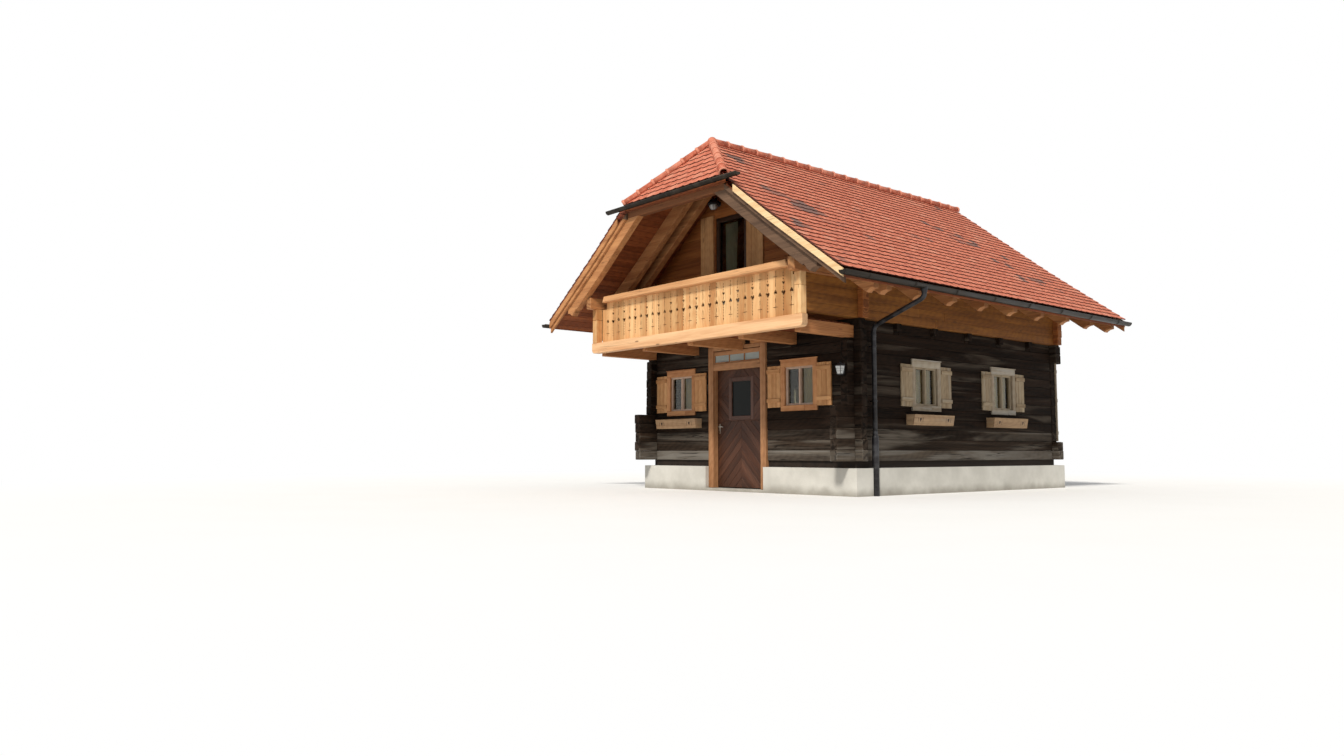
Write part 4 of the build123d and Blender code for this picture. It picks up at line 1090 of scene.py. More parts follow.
# The plate's ends take the grey-brown verge timber: weathering with painted shade.
for side in (1, -1):
    strip = plate_strip(HIP_HALF - 0.03, BARGE_TOP_X - 0.03, HIP_PLATE_BOTTOM - 0.02)
    strip = clip(strip, (RISE, 1, under_boards))
    slope_plate(hip_beam, strip, side, plate_y0 - 0.02, 0.04, bevel=0.005, slot=1)
hip_beam.build("hip_beam", ("hip_plate",), "warm_timber", HIP_WOOD_PAINTED_SHADE, SHADED)

# Purlins, joists, consoles, deck and front beam
DECK_Z = (CONSOLE_Z[1], CONSOLE_Z[1] + 0.03)
DECK_BOARDS = 9
BEAM_FRONT = beam_low.y
BEAM_BACK = BEAM_FRONT + 2 * TIMBER_HALF
BEAM_HALF = beam_high.x
BEAM_CORNER = 0.06
JAMB_FRONT = FRONT - 0.03

purlins = Piece()
for side in (1, -1):
    beam(purlins, about(side * PURLIN_X, PURLIN_HALF), (purlin_low.y, purlin_high.y),
         (PURLIN_BOTTOM, PURLIN_TOP), "y", bevel=0.008, rings=20, wander=0.003)
purlins.build("purlin_timbers", ("eave_purlins",), "warm_timber", RAFTER)

joists = Piece()
for y in JOIST_Y:
    beam(joists, about(0, HALF + TIMBER_HALF), about(y, TIMBER_HALF), JOIST_Z, "x", bevel=0.006)
joists.build("joist_timbers", ("floor_joists",), "weathered_logs", LOG)

consoles = Piece()
for x in CONSOLE_X:
    xs = about(x, TIMBER_HALF)
    over_frame = DOOR_X[0] < x < DOOR_X[1]
    stop = FRONT if abs(x) > HALF - 0.1 else (JAMB_FRONT if over_frame else FRONT + LOG_T)
    beam(consoles, xs, (BEAM_BACK, stop), CONSOLE_Z, "y", bevel=0.006, rings=4, wander=0.003)
    if over_frame:
        beam(consoles, xs, (stop, FRONT + LOG_T), (DOOR_TOP, CONSOLE_Z[1]), "y")
for xs in ((DOOR_X[0], -0.062), (0.2, DOOR_X[1])):
    beam(consoles, xs, (FRONT - 0.022, FRONT), (DOOR_TOP + 0.002, CONSOLE_Z[1] - 0.002), "x", bevel=0.003)
consoles.build("console_timbers", ("console_beams",), "warm_timber", RAFTER)

deck = Piece()
step = (FRONT - BEAM_BACK) / DECK_BOARDS
for k in range(DECK_BOARDS):
    y0 = BEAM_BACK + k * step
    for x0, x1 in ((-UPPER_IN, 0.0), (0.0, UPPER_IN)):
        beam(deck, (x0 + 0.001, x1 - 0.001), (y0, y0 + step - 0.004), DECK_Z, "x", bevel=0.003)
deck.build("deck_boards", ("balcony_deck",), "brown_boards", SOFFIT)

front_beam = Piece()
outline = [(-BEAM_HALF, beam_high.z)]
for side, start in ((-1, 180), (1, 270)):
    centre = (side * (BEAM_HALF - BEAM_CORNER), beam_low.z + BEAM_CORNER)
    outline += arc(centre, BEAM_CORNER, start, start + 90, 8)
outline.append((BEAM_HALF, beam_high.z))
facade(front_beam, outline, BEAM_BACK - BEAM_FRONT, BEAM_BACK, bevel=0.007, tone=0.8)
front_beam.build("front_beam_timber", ("balcony_front_beam",), "pale_larch", BEAM)

# Balcony posts, handrail and carved railing
POST_X = UPPER_OUT - 0.03
POST_JOINT = 2.9
RAIL_BEVEL = 0.045
HANDRAIL_DEEP = 0.14
posts = Piece()
for side in (1, -1):
    for zs in ((beam_high.z, POST_JOINT - 0.001), (POST_JOINT + 0.001, PURLIN_BOTTOM)):
        beam(posts, about(side * POST_X, TIMBER_HALF), (BEAM_FRONT, BEAM_BACK), zs, "z", bevel=0.006)
posts.build("post_timbers", ("balcony_posts",), "pale_larch", RAILING)

handrail = Piece()
outline = [(rail_low.x, rail_low.z), (rail_high.x, rail_low.z), (rail_high.x - RAIL_BEVEL, rail_high.z),
           (rail_low.x + RAIL_BEVEL, rail_high.z)]
facade(handrail, outline, HANDRAIL_DEEP, rail_high.y, bevel=0.012, tone=0.7)
handrail.build("handrail_timber", ("balcony_handrail",), "warm_timber", HANDRAIL)


def dot(z, radius):
    """Half of a round hole at a seam: (depth, height) from bottom to top."""
    return [(radius * math.sin(math.pi * k / 6), z - radius * math.cos(math.pi * k / 6)) for k in range(7)]


def heart(z, high, wide, upside):
    """Half of a heart, or of a spade when upside is -1."""
    half = [(0.0, -0.5), (0.32, -0.12), (0.48, 0.16), (0.46, 0.34), (0.34, 0.47), (0.2, 0.49), (0.07, 0.4),
            (0.0, 0.28)]
    points = [(a * wide, z + upside * b * high) for a, b in half]
    return points if upside > 0 else points[::-1]


def slit(z0, z1, wide):
    """Half of a narrow slit with pointed ends."""
    return [(0, z0), (wide, z0 + wide), (wide, z1 - wide), (0, z1)]


def cross(z, size):
    """Half of a small cross."""
    arm = size * 0.048
    half = size / 2
    return [(0, z - half), (arm, z - half), (arm, z - arm), (half, z - arm), (half, z + arm), (arm, z + arm),
            (arm, z + half), (0, z + half)]


def diamond(z, size):
    """Half of a small diamond."""
    return [(0, z - size / 2), (size * 0.4, z), (0, z + size / 2)]


heart_seam = [diamond(2.612, 0.032), *[dot(z, 0.0105) for z in (2.656, 2.7, 2.742, 2.785)],
              heart(2.846, 0.082, 0.078, 1), dot(2.912, 0.009), dot(2.936, 0.009),
              heart(2.987, 0.054, 0.056, 1), *[dot(z, 0.0105) for z in (3.046, 3.092, 3.138)]]
spade_seam = [cross(2.662, 0.086), slit(2.715, 2.79, 0.008), heart(2.878, 0.07, 0.066, -1),
              slit(2.95, 3.055, 0.007), cross(3.098, 0.07), slit(3.14, 3.178, 0.005)]
RAIL_BOARDS = 30
RAIL_HALF = railing_high.x
RAIL_SIDE_TOP = PURLIN_BOTTOM - 0.005
RAIL_THICK = 0.025
BOARD_GAP = 0.0015
board_pitch = 2 * RAIL_HALF / RAIL_BOARDS


def seam(index, sign):
    """Points of one board's edge at a seam, bottom to top, as (offset from the seam, height)."""
    if index in (0, RAIL_BOARDS):
        return []
    shapes = spade_seam if index % 2 else heart_seam
    if index in (1, RAIL_BOARDS - 1):
        shapes = shapes[:3]
    return [(sign * max(depth, BOARD_GAP), z) for shape in shapes for depth, z in shape]


railing = Piece()
for k in range(RAIL_BOARDS):
    left = -RAIL_HALF + k * board_pitch
    right = left + board_pitch
    last = k == RAIL_BOARDS - 1
    outline = [(left + BOARD_GAP, railing_low.z), (right - BOARD_GAP, railing_low.z)]
    outline += [(right + a, z) for a, z in seam(k + 1, -1)]
    outline.append((right - BOARD_GAP, RAIL_SIDE_TOP if last else rail_low.z))
    if last:
        outline += [(rail_high.x, RAIL_SIDE_TOP), (rail_high.x, rail_low.z)]
    if k == 0:
        outline += [(rail_low.x, rail_low.z), (rail_low.x, RAIL_SIDE_TOP)]
    outline.append((left + BOARD_GAP, RAIL_SIDE_TOP if k == 0 else rail_low.z))
    outline += [(left + a, z) for a, z in reversed(seam(k, 1))]
    # The carved holes' rims are darkened as ends: weathered sawn edges with painted shade in the holes.
    facade(railing, outline, RAIL_THICK, railing_low.y + RAIL_THICK, bevel=0.0012, grain_along=False,
           tone=rng.choice((0.15, 0.4, 0.7, 1.0)) + rng.uniform(-0.1, 0.0), sawn=True)
railing.build("railing_boards", ("balcony_railing",), "pale_larch", RAILING)


# Gutters and downpipes

def tube(piece, points, radius, sides=16, caps=True):
    """A round pipe along a list of points; radius is one number or one for each point."""
    points = [Vector(p) for p in points]
    count = len(points)
    verts = []
    side = None
    for i in range(count):
        axis = (points[min(i + 1, count - 1)] - points[max(i - 1, 0)]).normalized()
        side = axis.orthogonal().normalized() if side is None else side
        side = (side - axis * side.dot(axis)).normalized()
        other = axis.cross(side)
        r = radius[i] if isinstance(radius, (list, tuple)) else radius
        for k in range(sides):
            angle = 2 * math.pi * k / sides
            verts.append(points[i] + side * (r * math.cos(angle)) + other * (r * math.sin(angle)))
    faces = grid(count, sides) + (lids(count, sides) if caps else [])
    piece.add(verts, faces, soft=True)


def rounded(points, bend, steps=6):
    """A route with each corner turned into a curve that starts bend before it."""
    points = [Vector(p) for p in points]
    out = [points[0]]
    for a, b, c in zip(points, points[1:], points[2:]):
        start = b + (a - b).normalized() * min(bend, (a - b).length * 0.48)
        stop = b + (c - b).normalized() * min(bend, (c - b).length * 0.48)
        for k in range(steps + 1):
            t = k / steps
            out.append(start * (1 - t) ** 2 + b * (2 * t * (1 - t)) + stop * t ** 2)
    out.append(points[-1])
    return out


HALF_TURN = (0.0, math.pi)


def gutter(piece, start, along, length, radius, down_from, band_every):
    """A half-round gutter with a rolled rim on its outer edge, sleeves, brackets and end caps."""
    start = Vector(start)
    along = Vector(along)
    outer = radius - 0.004
    inner = outer - 0.003
    channel = [(0, outer), (length, outer), (length, inner), (0, inner), (0, outer)]
    turned(piece, channel, start, along, down_from, HALF_TURN, 18)
    rings = [(s, s + 0.004, 0.0, outer + 0.001) for s in (0.0, length - 0.004)]
    count = max(2, round(length / band_every))
    for k in range(count):
        s = length * (k + 0.5) / count
        rings.append((s, s + 0.03, outer - 0.0005, radius))
    for s0, s1, r0, r1 in rings:
        turned(piece, [(s0, r0), (s0, r1), (s1, r1), (s1, r0), (s0, r0)], start, along, down_from, HALF_TURN,
               18, soft=False)
    for edge in (1, -1):
        rim = start + Vector(down_from) * (edge * (outer - 0.004))
        tube(piece, [rim, rim + along * length], 0.0055, 8)


SIDE_GUTTER_R = 0.062
FRONT_GUTTER_R = 0.055
GUTTER_GAP = 0.0003
GUTTER_SET = 0.012
GUTTER_PAST = 0.08
side_gutter_x = EAVE_BOARD + GUTTER_GAP + SIDE_GUTTER_R
side_gutter_z = roof_z(EAVE, TILE_DEPTH) - GUTTER_SET
gutters = Piece()
for side, y in ((1, VERGE_FRONT - GUTTER_PAST), (-1, VERGE_BACK)):
    gutter(gutters, (side * side_gutter_x, y, side_gutter_z), (0, side, 0),
           VERGE_BACK - VERGE_FRONT + GUTTER_PAST, SIDE_GUTTER_R, (side, 0, 0), 0.95)
front_gutter = (-1.54, VERGE_FRONT - GUTTER_GAP - FRONT_GUTTER_R, hip_z(VERGE_FRONT, TILE_DEPTH) - GUTTER_SET)
gutter(gutters, front_gutter, (1, 0, 0), 3.08, FRONT_GUTTER_R, (0, -1, 0), 0.98)
gutters.build("gutter_sheets", ("gutters",), "dark_metal", METAL)

pipes = Piece()
PIPE_R = 0.035
pipe_x = HALF + 0.06 + PIPE_R
pipe_y = FRONT + 0.33
PIPE_FOOT = 0.86
for side in (1, -1):
    x = side * pipe_x
    outlet = Vector((side * side_gutter_x, FRONT + 0.12, side_gutter_z - 0.06))
    foot = Vector((x, pipe_y, PIPE_FOOT))
    route = [outlet, outlet - Vector((0, 0, 0.11)), Vector((x, pipe_y, 2.46)), foot]
    tube(pipes, rounded(route, 0.1, 8), PIPE_R, 20)
    funnel = [outlet + Vector((0, 0, dz)) for dz in (0.03, -0.01, -0.05)]
    tube(pipes, funnel, [0.052, 0.046, 0.038], 20, False)
    boot = [(foot.x, foot.y, z) for z in (PIPE_FOOT + 0.015, PIPE_FOOT, 0.84, 0.0)]
    tube(pipes, boot, [0.041, 0.047, 0.05, 0.05], 20)
    for z in (1.37, 2.165):
        band = [(-0.012, 0.034), (-0.012, 0.0395), (0.012, 0.0395), (0.012, 0.034)]
        turned(pipes, band, (foot.x, foot.y, z), steps=20, soft=False)
        beam(pipes, mirror(side, HALF, pipe_x - 0.03), about(pipe_y, 0.009), about(z, 0.009), "x")
    for z in (2.33, 0.9):
        sleeve = [(-0.03, 0.0355), (-0.025, 0.038), (0.025, 0.038), (0.03, 0.0355)]
        turned(pipes, sleeve, (foot.x, foot.y, z), steps=20)
pipes.build("pipe_runs", ("downpipes",), "dark_metal", PIPE)


# Windows

class Place:
    """A spot on a wall face: x to the right seen from outside, y into the wall, z up."""

    def __init__(self, x, y, turn):
        angle = math.radians(turn)
        self.origin = Vector((x, y, 0))
        self.right = Vector((round(math.cos(angle)), round(math.sin(angle)), 0))
        self.inward = Vector((-self.right.y, self.right.x, 0))

    def at(self, x, y, z):
        return self.origin + self.right * x + self.inward * y + Vector((0, 0, z))

    def put(self, piece, xs, ys, zs, along, **options):
        """A timber that fills a box of the place; along is x, y or z of the place."""
        low, high = [self.at(*corner) for corner in zip(xs, ys, zs)]
        world = {"x": self.right, "y": self.inward, "z": Vector((0, 0, 1))}[along]
        axis = "xyz"[[abs(round(c)) for c in world].index(1)]
        beam(piece, *[sorted(pair) for pair in zip(low, high)], axis, **options)


CASE_WIDE = 0.07
CASE_HEAD = 0.09
CASE_OUT = 0.024
CASE_JOINT = 0.12
CASE_GAP = 0.0008
SASH_WIDE = 0.045
SASH_Y = (0.014, 0.074)
LIP = 0.015
PANE_Y = (0.047, 0.053)
ROD_Y = (0.078, 0.086)
SHUTTER_START = WINDOW_HALF + CASE_WIDE + 0.001
SHUTTER_WIDE = 0.278
PLANKS = 3
gable_place = Place(0, BACK, 180)
openings = [(Place(x, FRONT, 0), 0, WINDOW_Z) for x in FRONT_WINDOWS]
for y in SIDE_WINDOWS:
    openings += [(Place(side * HALF, y, side * 90), 1, WINDOW_Z) for side in (1, -1)]
openings += [(gable_place, 1, WINDOW_Z), (gable_place, 1, GABLE_WINDOW[2:])]
frames = Piece()
panes = Piece()
shutters = Piece()


def window(place, style, z0, z1, half=WINDOW_HALF):
    """Casing boards, two sashes and their glass; style picks the timbers."""
    out = (-CASE_OUT, 0.012)
    reach = half + CASE_WIDE
    top = z1 + CASE_HEAD

    def case(xs, ys, zs, along="x", bevel=0.004, slot=style, **options):
        place.put(frames, xs, ys, zs, along, bevel=bevel, slot=slot, **options)

    for xs in ((-reach, CASE_JOINT - CASE_GAP), (CASE_JOINT + CASE_GAP, reach)):
        case(xs, out, (z0 - CASE_WIDE, z0 + LIP))
    case((-reach, reach), out, (z1 - LIP, top))
    case((-reach - 0.012, reach + 0.012), (-CASE_OUT - 0.01, 0), (top, top + 0.016), bevel=0.003)
    for side in (1, -1):
        case(mirror(side, reach, half - LIP), out, (z0 + LIP + CASE_GAP, z1 - LIP - CASE_GAP), "z")
    for side in (1, -1):
        tone = rng.random()
        rail = mirror(side, half - SASH_WIDE, SASH_WIDE / 2)
        for xs in (mirror(side, half - 0.002, half - SASH_WIDE), mirror(side, SASH_WIDE / 2, 0.001)):
            case(xs, SASH_Y, (z0 + 0.003, z1 - 0.003), "z", slot=2 + style, tone=tone)
        for zs in ((z0 + 0.003, z0 + SASH_WIDE), (z1 - SASH_WIDE, z1 - 0.003)):
            case(rail, SASH_Y, zs, slot=2 + style, tone=tone)
        place.put(panes, rail, PANE_Y, (z0 + SASH_WIDE, z1 - SASH_WIDE), "z", bevel=0.0005)
    case((-0.016, 0.016), (0.004, 0.014), (z0 + LIP, z1 - LIP), "z", slot=2 + style)


def shutter(place, start, wide, z0, z1, battens=True, outward=1, slot=0):
    """A plank shutter, with two battens that reach a little past its free edge."""
    step = wide / PLANKS
    left = start if outward > 0 else start - wide
    for k in range(PLANKS):
        xs = (left + k * step + 0.001, left + (k + 1) * step - 0.001)
        zs = (z0 + rng.uniform(0, 0.004), z1 - rng.uniform(0, 0.005))
        place.put(shutters, xs, (-0.025, -0.001), zs, "z", bevel=0.003, slot=slot)
    if battens:
        xs = sorted((start + outward * 0.004, start + outward * (wide + 0.006)))
        for zs in ((z0 + 0.08, z0 + 0.14), (z1 - 0.12, z1 - 0.055)):
            place.put(shutters, xs, (-0.042, -0.025), zs, "x", bevel=0.004, slot=slot)


def fold_depth(cut, span, folds, columns):
    """How far the folds swing where a cloth of width cut hangs in a shorter span."""
    low, high = 0.0, 0.08
    for _ in range(24):
        swing = (low + high) / 2
        length = 0.0
        last = None
        for i in range(columns + 1):
            p = (span * i / columns, swing * math.cos(2 * math.pi * folds * i / columns))
            if last:
                length += math.hypot(p[0] - last[0], p[1] - last[1])
            last = p
        low, high = (swing, high) if length < cut else (low, swing)
    return swing


def curtain(name, place, xs, zs, y, fullness, folds, narrow=1.0, pull=0.0, net=NET):
    """A net curtain hung in folds behind the glass, drawn to one side lower down where narrow is under 1."""
    columns = folds * 8
    rows = 14
    wide = xs[1] - xs[0]
    high = zs[1] - zs[0]
    cut = wide * fullness
    lift = 0.012
    points = []
    for j in range(rows + 1):
        t = j / rows
        span = wide * (1 - (1 - narrow) * math.sin(math.pi * min(1.0, t * 0.75)))
        left = xs[0] + (wide - span) * pull
        swing = fold_depth(cut, span, folds, columns)
        z = zs[1] - lift - (high - lift) * t
        for i in range(columns + 1):
            wave = swing * math.cos(2 * math.pi * folds * i / columns + 0.4 * math.sin(3 * t))
            wave += 0.004 * math.sin(5 * i / columns + 4 * t)
            points.append(place.at(left + span * i / columns, y + wave, z))
    piece = Piece()
    piece.add(points, grid(rows + 1, columns + 1, False), soft=True)
    made = piece.build(name, (), None, net)


for place, style, zs in openings:
    window(place, style, *zs)
    if zs is WINDOW_Z:
        for side in (1, -1):
            shutter(place, side * SHUTTER_START, SHUTTER_WIDE, zs[0] - 0.01, zs[0] + 0.64, outward=side,
                    slot=style)
for place, style, zs in openings:
    place.put(frames, (-0.28, 0.28), ROD_Y, (zs[1] - 0.042, zs[1] - 0.034), "x", bevel=0.002, slot=2 + style)

# Balcony door, fixed shut, with its shutters
DOOR_MIDDLE = (BALCONY_DOOR[0] + BALCONY_DOOR[1]) / 2
DOOR_HALF = (BALCONY_DOOR[1] - BALCONY_DOOR[0]) / 2
MEMBER = 0.075
PANEL_HALF = DOOR_HALF - MEMBER
BALCONY_PANE = (2.89, BALCONY_DOOR[3] - MEMBER)
PANEL_Z = (BALCONY_DOOR[2] + 0.11, BALCONY_PANE[0] - 0.08)
PANELS = 6
balcony_place = Place(DOOR_MIDDLE, FRONT + 0.02, 0)
balcony_door = Piece()
for xs, zs, along in (((-DOOR_HALF, DOOR_HALF), (BALCONY_DOOR[2], PANEL_Z[0]), "x"),
                      ((-DOOR_HALF, DOOR_HALF), (BALCONY_PANE[1], BALCONY_DOOR[3]), "x"),
                      ((-PANEL_HALF, PANEL_HALF), (PANEL_Z[1], BALCONY_PANE[0]), "x"),
                      ((PANEL_HALF, DOOR_HALF), (PANEL_Z[0], BALCONY_PANE[1]), "z"),
                      ((-DOOR_HALF, -PANEL_HALF), (PANEL_Z[0], BALCONY_PANE[1]), "z")):
    balcony_place.put(balcony_door, xs, (0, 0.07), zs, along)
step = 2 * PANEL_HALF / PANELS
for k in range(PANELS):
    x0 = -PANEL_HALF + k * step
    balcony_place.put(balcony_door, (x0 + 0.001, x0 + step - 0.001), (0.02, 0.05), PANEL_Z, "z", bevel=0.003)
balcony_place.put(balcony_door, (-DOOR_HALF + 0.08, DOOR_HALF - 0.08), ROD_Y,
                  (BALCONY_PANE[1] - 0.01, BALCONY_PANE[1]), "x", bevel=0.002)
balcony_door.build("balcony_door_joinery", ("balcony_door",), "brown_boards", DARK_JOINERY)
balcony_place.put(panes, (-PANEL_HALF, PANEL_HALF), (0.035, 0.041), BALCONY_PANE, "z", bevel=0.0005)
for x0, x1, top in ((-0.97, -0.65, 4.62), (0.13, 0.51, 4.42)):
    shutter(Place(0, FRONT, 0), x0, x1 - x0, 2.63, top, False)

frames.build("window_timbers", ("window_frames",), "warm_timber", CASING, PALE_CASING, SASH, SIDE_SASH)
shutters.build("shutter_leaves", ("window_shutters",), "warm_timber", PLANK, SIDE_PLANK)
for number, (place, style, zs) in enumerate(openings):
    zs = (zs[0] + 0.03, zs[1] - 0.03)
    if style == 0:
        curtain(f"curtain_{number}", place, (-0.06, 0.26), zs, 0.115, 1.6, 7, 0.62, 0.15)
    else:
        curtain(f"curtain_{number}", place, (-0.27, 0.27), zs, 0.115, 1.5, 11)
curtain("curtain_balcony", balcony_place, (-0.27, 0.03), (2.66, BALCONY_PANE[1] - 0.004), 0.12, 1.7, 7, 0.8,
        0.2, PALE_NET)

# Flower boxes with burnt-in hearts
BOX_TOP = 1.2
BOX_LOW = 1.04
BOX_HALF = 0.52
BOX_FOOT = 0.135
BOX_RIM = 0.165
BOX_WALL = 0.018
BURNT = 0.0015
box_places = [openings[0][0]] + [place for place, style, zs in openings if abs(place.right.y) > 0.5]
boxes = Piece()
for place in box_places:
    place.put(boxes, (-BOX_HALF, BOX_HALF), (-BOX_WALL, 0), (BOX_LOW, BOX_TOP), "x", bevel=0.002)
    place.put(boxes, (-BOX_HALF + BOX_WALL, BOX_HALF - BOX_WALL), (-BOX_FOOT + BOX_WALL, -BOX_WALL),
              (BOX_LOW, BOX_LOW + BOX_WALL), "x", bevel=0.002)
    rise = -place.inward * (BOX_RIM - BOX_FOOT) + Vector((0, 0, BOX_TOP - BOX_LOW))
    face_y = -(BOX_FOOT + BOX_RIM) / 2
    middle_z = (BOX_TOP + BOX_LOW) / 2
    timber(boxes, place.at(-BOX_HALF, face_y + BOX_WALL / 2, middle_z), place.right, rise, 2 * BOX_HALF,
           rise.length, BOX_WALL, bevel=0.003)
    end = [(BOX_WALL, BOX_LOW), (BOX_FOOT - BOX_WALL, BOX_LOW), (BOX_RIM - BOX_WALL, BOX_TOP),
           (BOX_WALL, BOX_TOP)]
    for x in (-BOX_HALF + BOX_WALL, BOX_HALF):
        plate(boxes, end, BOX_WALL, place.at(x, 0, 0), -place.inward, (0, 0, 1), bevel=0.002)
    for x in (-0.36, 0.36):
        half = heart(0.0, 0.06, 0.046, 1)
        marks = [half + [(-a, b) for a, b in reversed(half[1:-1])]]
        for dx in (-0.06, 0.06):
            marks.append([(dx + 0.003 * cx, 0.035 * cz) for cx, cz in CORNERS])
        for mark in marks:
            plate(boxes, mark, BURNT, place.at(x, face_y, middle_z), place.right, rise, slot=1)
boxes.build("flower_box_boards", ("flower_boxes",), "warm_timber", BOX_WOOD, DARK_JOINERY)

# Front door frame and transom light
SILL_Z = 0.045
LEAF_TOP = 2.0
JAMB = 0.12
REBATE = 0.015
INNER_X = (DOOR_X[0] + JAMB, DOOR_X[1] - JAMB)
REBATE_Y = FRONT + 0.085
WALL_BACK = FRONT + LOG_T
TRANSOM_Z = (LEAF_TOP + 0.095, DOOR_TOP - 0.06)
TRANSOM_GLASS = (TRANSOM_Z[0] + 0.024, TRANSOM_Z[0] + 0.134)
TRANSOM_TOP = TRANSOM_Z[1] - 0.012
TRANSOM_Y = (FRONT - 0.016, FRONT + 0.03)
TRANSOM_PANES = 3
BAR = 0.022
SASH_SIDE = 0.03
SASH_X = (INNER_X[0] + SASH_SIDE, INNER_X[1] - SASH_SIDE)
door_frame = Piece()
for outer, inner, sign in ((DOOR_X[0], INNER_X[0], -1), (DOOR_X[1], INNER_X[1], 1)):
    beam(door_frame, sorted((outer, inner)), (JAMB_FRONT, REBATE_Y), (SILL_Z, DOOR_TOP), "z", bevel=0.006,
         rings=6, wander=0.002)
    beam(door_frame, sorted((outer, inner + sign * REBATE)), (REBATE_Y, WALL_BACK), (SILL_Z, DOOR_TOP), "z",
         bevel=0.003)
for z0, z1 in ((LEAF_TOP - REBATE, TRANSOM_Z[0]), (TRANSOM_Z[1], DOOR_TOP)):
    beam(door_frame, INNER_X, (JAMB_FRONT + 0.004, REBATE_Y), (z0, z1), "x", bevel=0.005)
    beam(door_frame, (INNER_X[0] - REBATE, INNER_X[1] + REBATE), (REBATE_Y, WALL_BACK),
         (max(z0, LEAF_TOP), z1), "x")
for xs in ((INNER_X[0] + 0.001, SASH_X[0]), (SASH_X[1], INNER_X[1] - 0.001)):
    beam(door_frame, xs, TRANSOM_Y, (TRANSOM_Z[0], TRANSOM_TOP), "z", bevel=0.004)
for zs in ((TRANSOM_Z[0], TRANSOM_GLASS[0]), (TRANSOM_GLASS[1], TRANSOM_TOP)):
    beam(door_frame, SASH_X, TRANSOM_Y, zs, "x", bevel=0.004)
pane_wide = (INNER_X[1] - INNER_X[0] - 2 * SASH_SIDE - 2 * BAR) / TRANSOM_PANES
for k in range(TRANSOM_PANES):
    x0 = SASH_X[0] + k * (pane_wide + BAR)
    x1 = x0 + pane_wide
    beam(panes, (x0, x1), (FRONT + 0.002, FRONT + 0.008), TRANSOM_GLASS, "x", bevel=0.0005, slot=1)
    if k < TRANSOM_PANES - 1:
        beam(door_frame, (x1, x1 + BAR), (FRONT - 0.01, TRANSOM_Y[1]), TRANSOM_GLASS, "z", bevel=0.003)
door_frame.build("door_frame_timbers", ("door_frame",), "pale_larch", JAMB_WOOD)
panes.build("pane_glass", ("window_panes",), "window_glass", CLEAR, FROSTED)

# Front door leaf, clad with diagonal boards round its framed window
LEAF = (INNER_X[0] - 0.008, INNER_X[1] + 0.01, 0.06, 1.995)
LEAF_Y = (FRONT + 0.09, FRONT + 0.14)
CLAD_BACK = LEAF_Y[0] + 0.018
CLAD_WIDE = 0.115
DOOR_CENTRE = -0.12
GLASS = (DOOR_CENTRE - 0.22, DOOR_CENTRE + 0.22, 1.225, 1.79)
TRIM = 0.07
FRAME = (GLASS[0] - TRIM, GLASS[1] + TRIM, GLASS[2] - TRIM, GLASS[3] + TRIM)
DIVIDE = 1.14
leaf = Piece()
for x0, x1, z0, z1 in cut_out([LEAF], [GLASS]):
    beam(leaf, (x0, x1), (CLAD_BACK, LEAF_Y[1]), (z0, z1), "z", bevel=0.0, slot=1)


def diagonal_boards(z_low, z_high, centre_z, quarters):
    """Boards at 45 degrees in mirrored quarters round a centre, kept clear of the window frame."""
    step = CLAD_WIDE * math.sqrt(2)
    for sx, sz in quarters:
        wide = LEAF[1] - DOOR_CENTRE if sx > 0 else DOOR_CENTRE - LEAF[0]
        high = z_high - centre_z if sz > 0 else centre_z - z_low
        frame_u = FRAME[1] - DOOR_CENTRE
        frame_v = FRAME[3] - centre_z if sz > 0 else centre_z - FRAME[2]
        along = Vector((sx, 0, -sz)).normalized()
        across = Vector((-along.z, 0, along.x))
        for k in range(math.ceil((wide + high) / step)):
            strip = clip([(0, 0), (wide, 0), (wide, high), (0, high)],
                         (1, 1, (k + 1) * step - 0.003), (-1, -1, -k * step))
            shift = (rng.uniform(0, 60), rng.uniform(-0.08, 0.08), -0.03)
            tone = rng.random()
            parts = [strip]
            if k * step < frame_u + frame_v and z_high > FRAME[3]:
                parts = [clip(strip, (0, -1, -frame_v)), clip(strip, (-1, 0, -frame_u), (0, 1, frame_v))]
            for part in filter(None, parts):
                corners = [Vector((DOOR_CENTRE + sx * u, 0, centre_z + sz * v)) for u, v in part]
                plate(leaf, [(p.dot(along), p.dot(across)) for p in corners], CLAD_BACK - LEAF_Y[0],
                      (0, CLAD_BACK, 0), along, across, bevel=0.003, tone=tone, shift=shift)


diagonal_boards(DIVIDE, LEAF[3], (FRAME[2] + FRAME[3]) / 2 + 0.05, ((1, 1), (-1, 1), (1, -1), (-1, -1)))
diagonal_boards(LEAF[2], DIVIDE, LEAF[2], ((1, 1), (-1, 1)))
for x0, x1, z0, z1, along in ((FRAME[0], GLASS[0], FRAME[2], FRAME[3], "z"),
                              (GLASS[1], FRAME[1], FRAME[2], FRAME[3], "z"),
                              (GLASS[0], GLASS[1], FRAME[2], GLASS[2], "x"),
                              (GLASS[0], GLASS[1], GLASS[3], FRAME[3], "x")):
    beam(leaf, (x0, x1), (LEAF_Y[0] - 0.006, LEAF_Y[1] - 0.004), (z0, z1), along, bevel=0.006, slot=2)
leaf.build("door_leaf_boards", ("door_leaf",), "brown_boards", DOOR_WOOD, DARK_JOINERY, DOOR_TRIM,
           body="front_door")

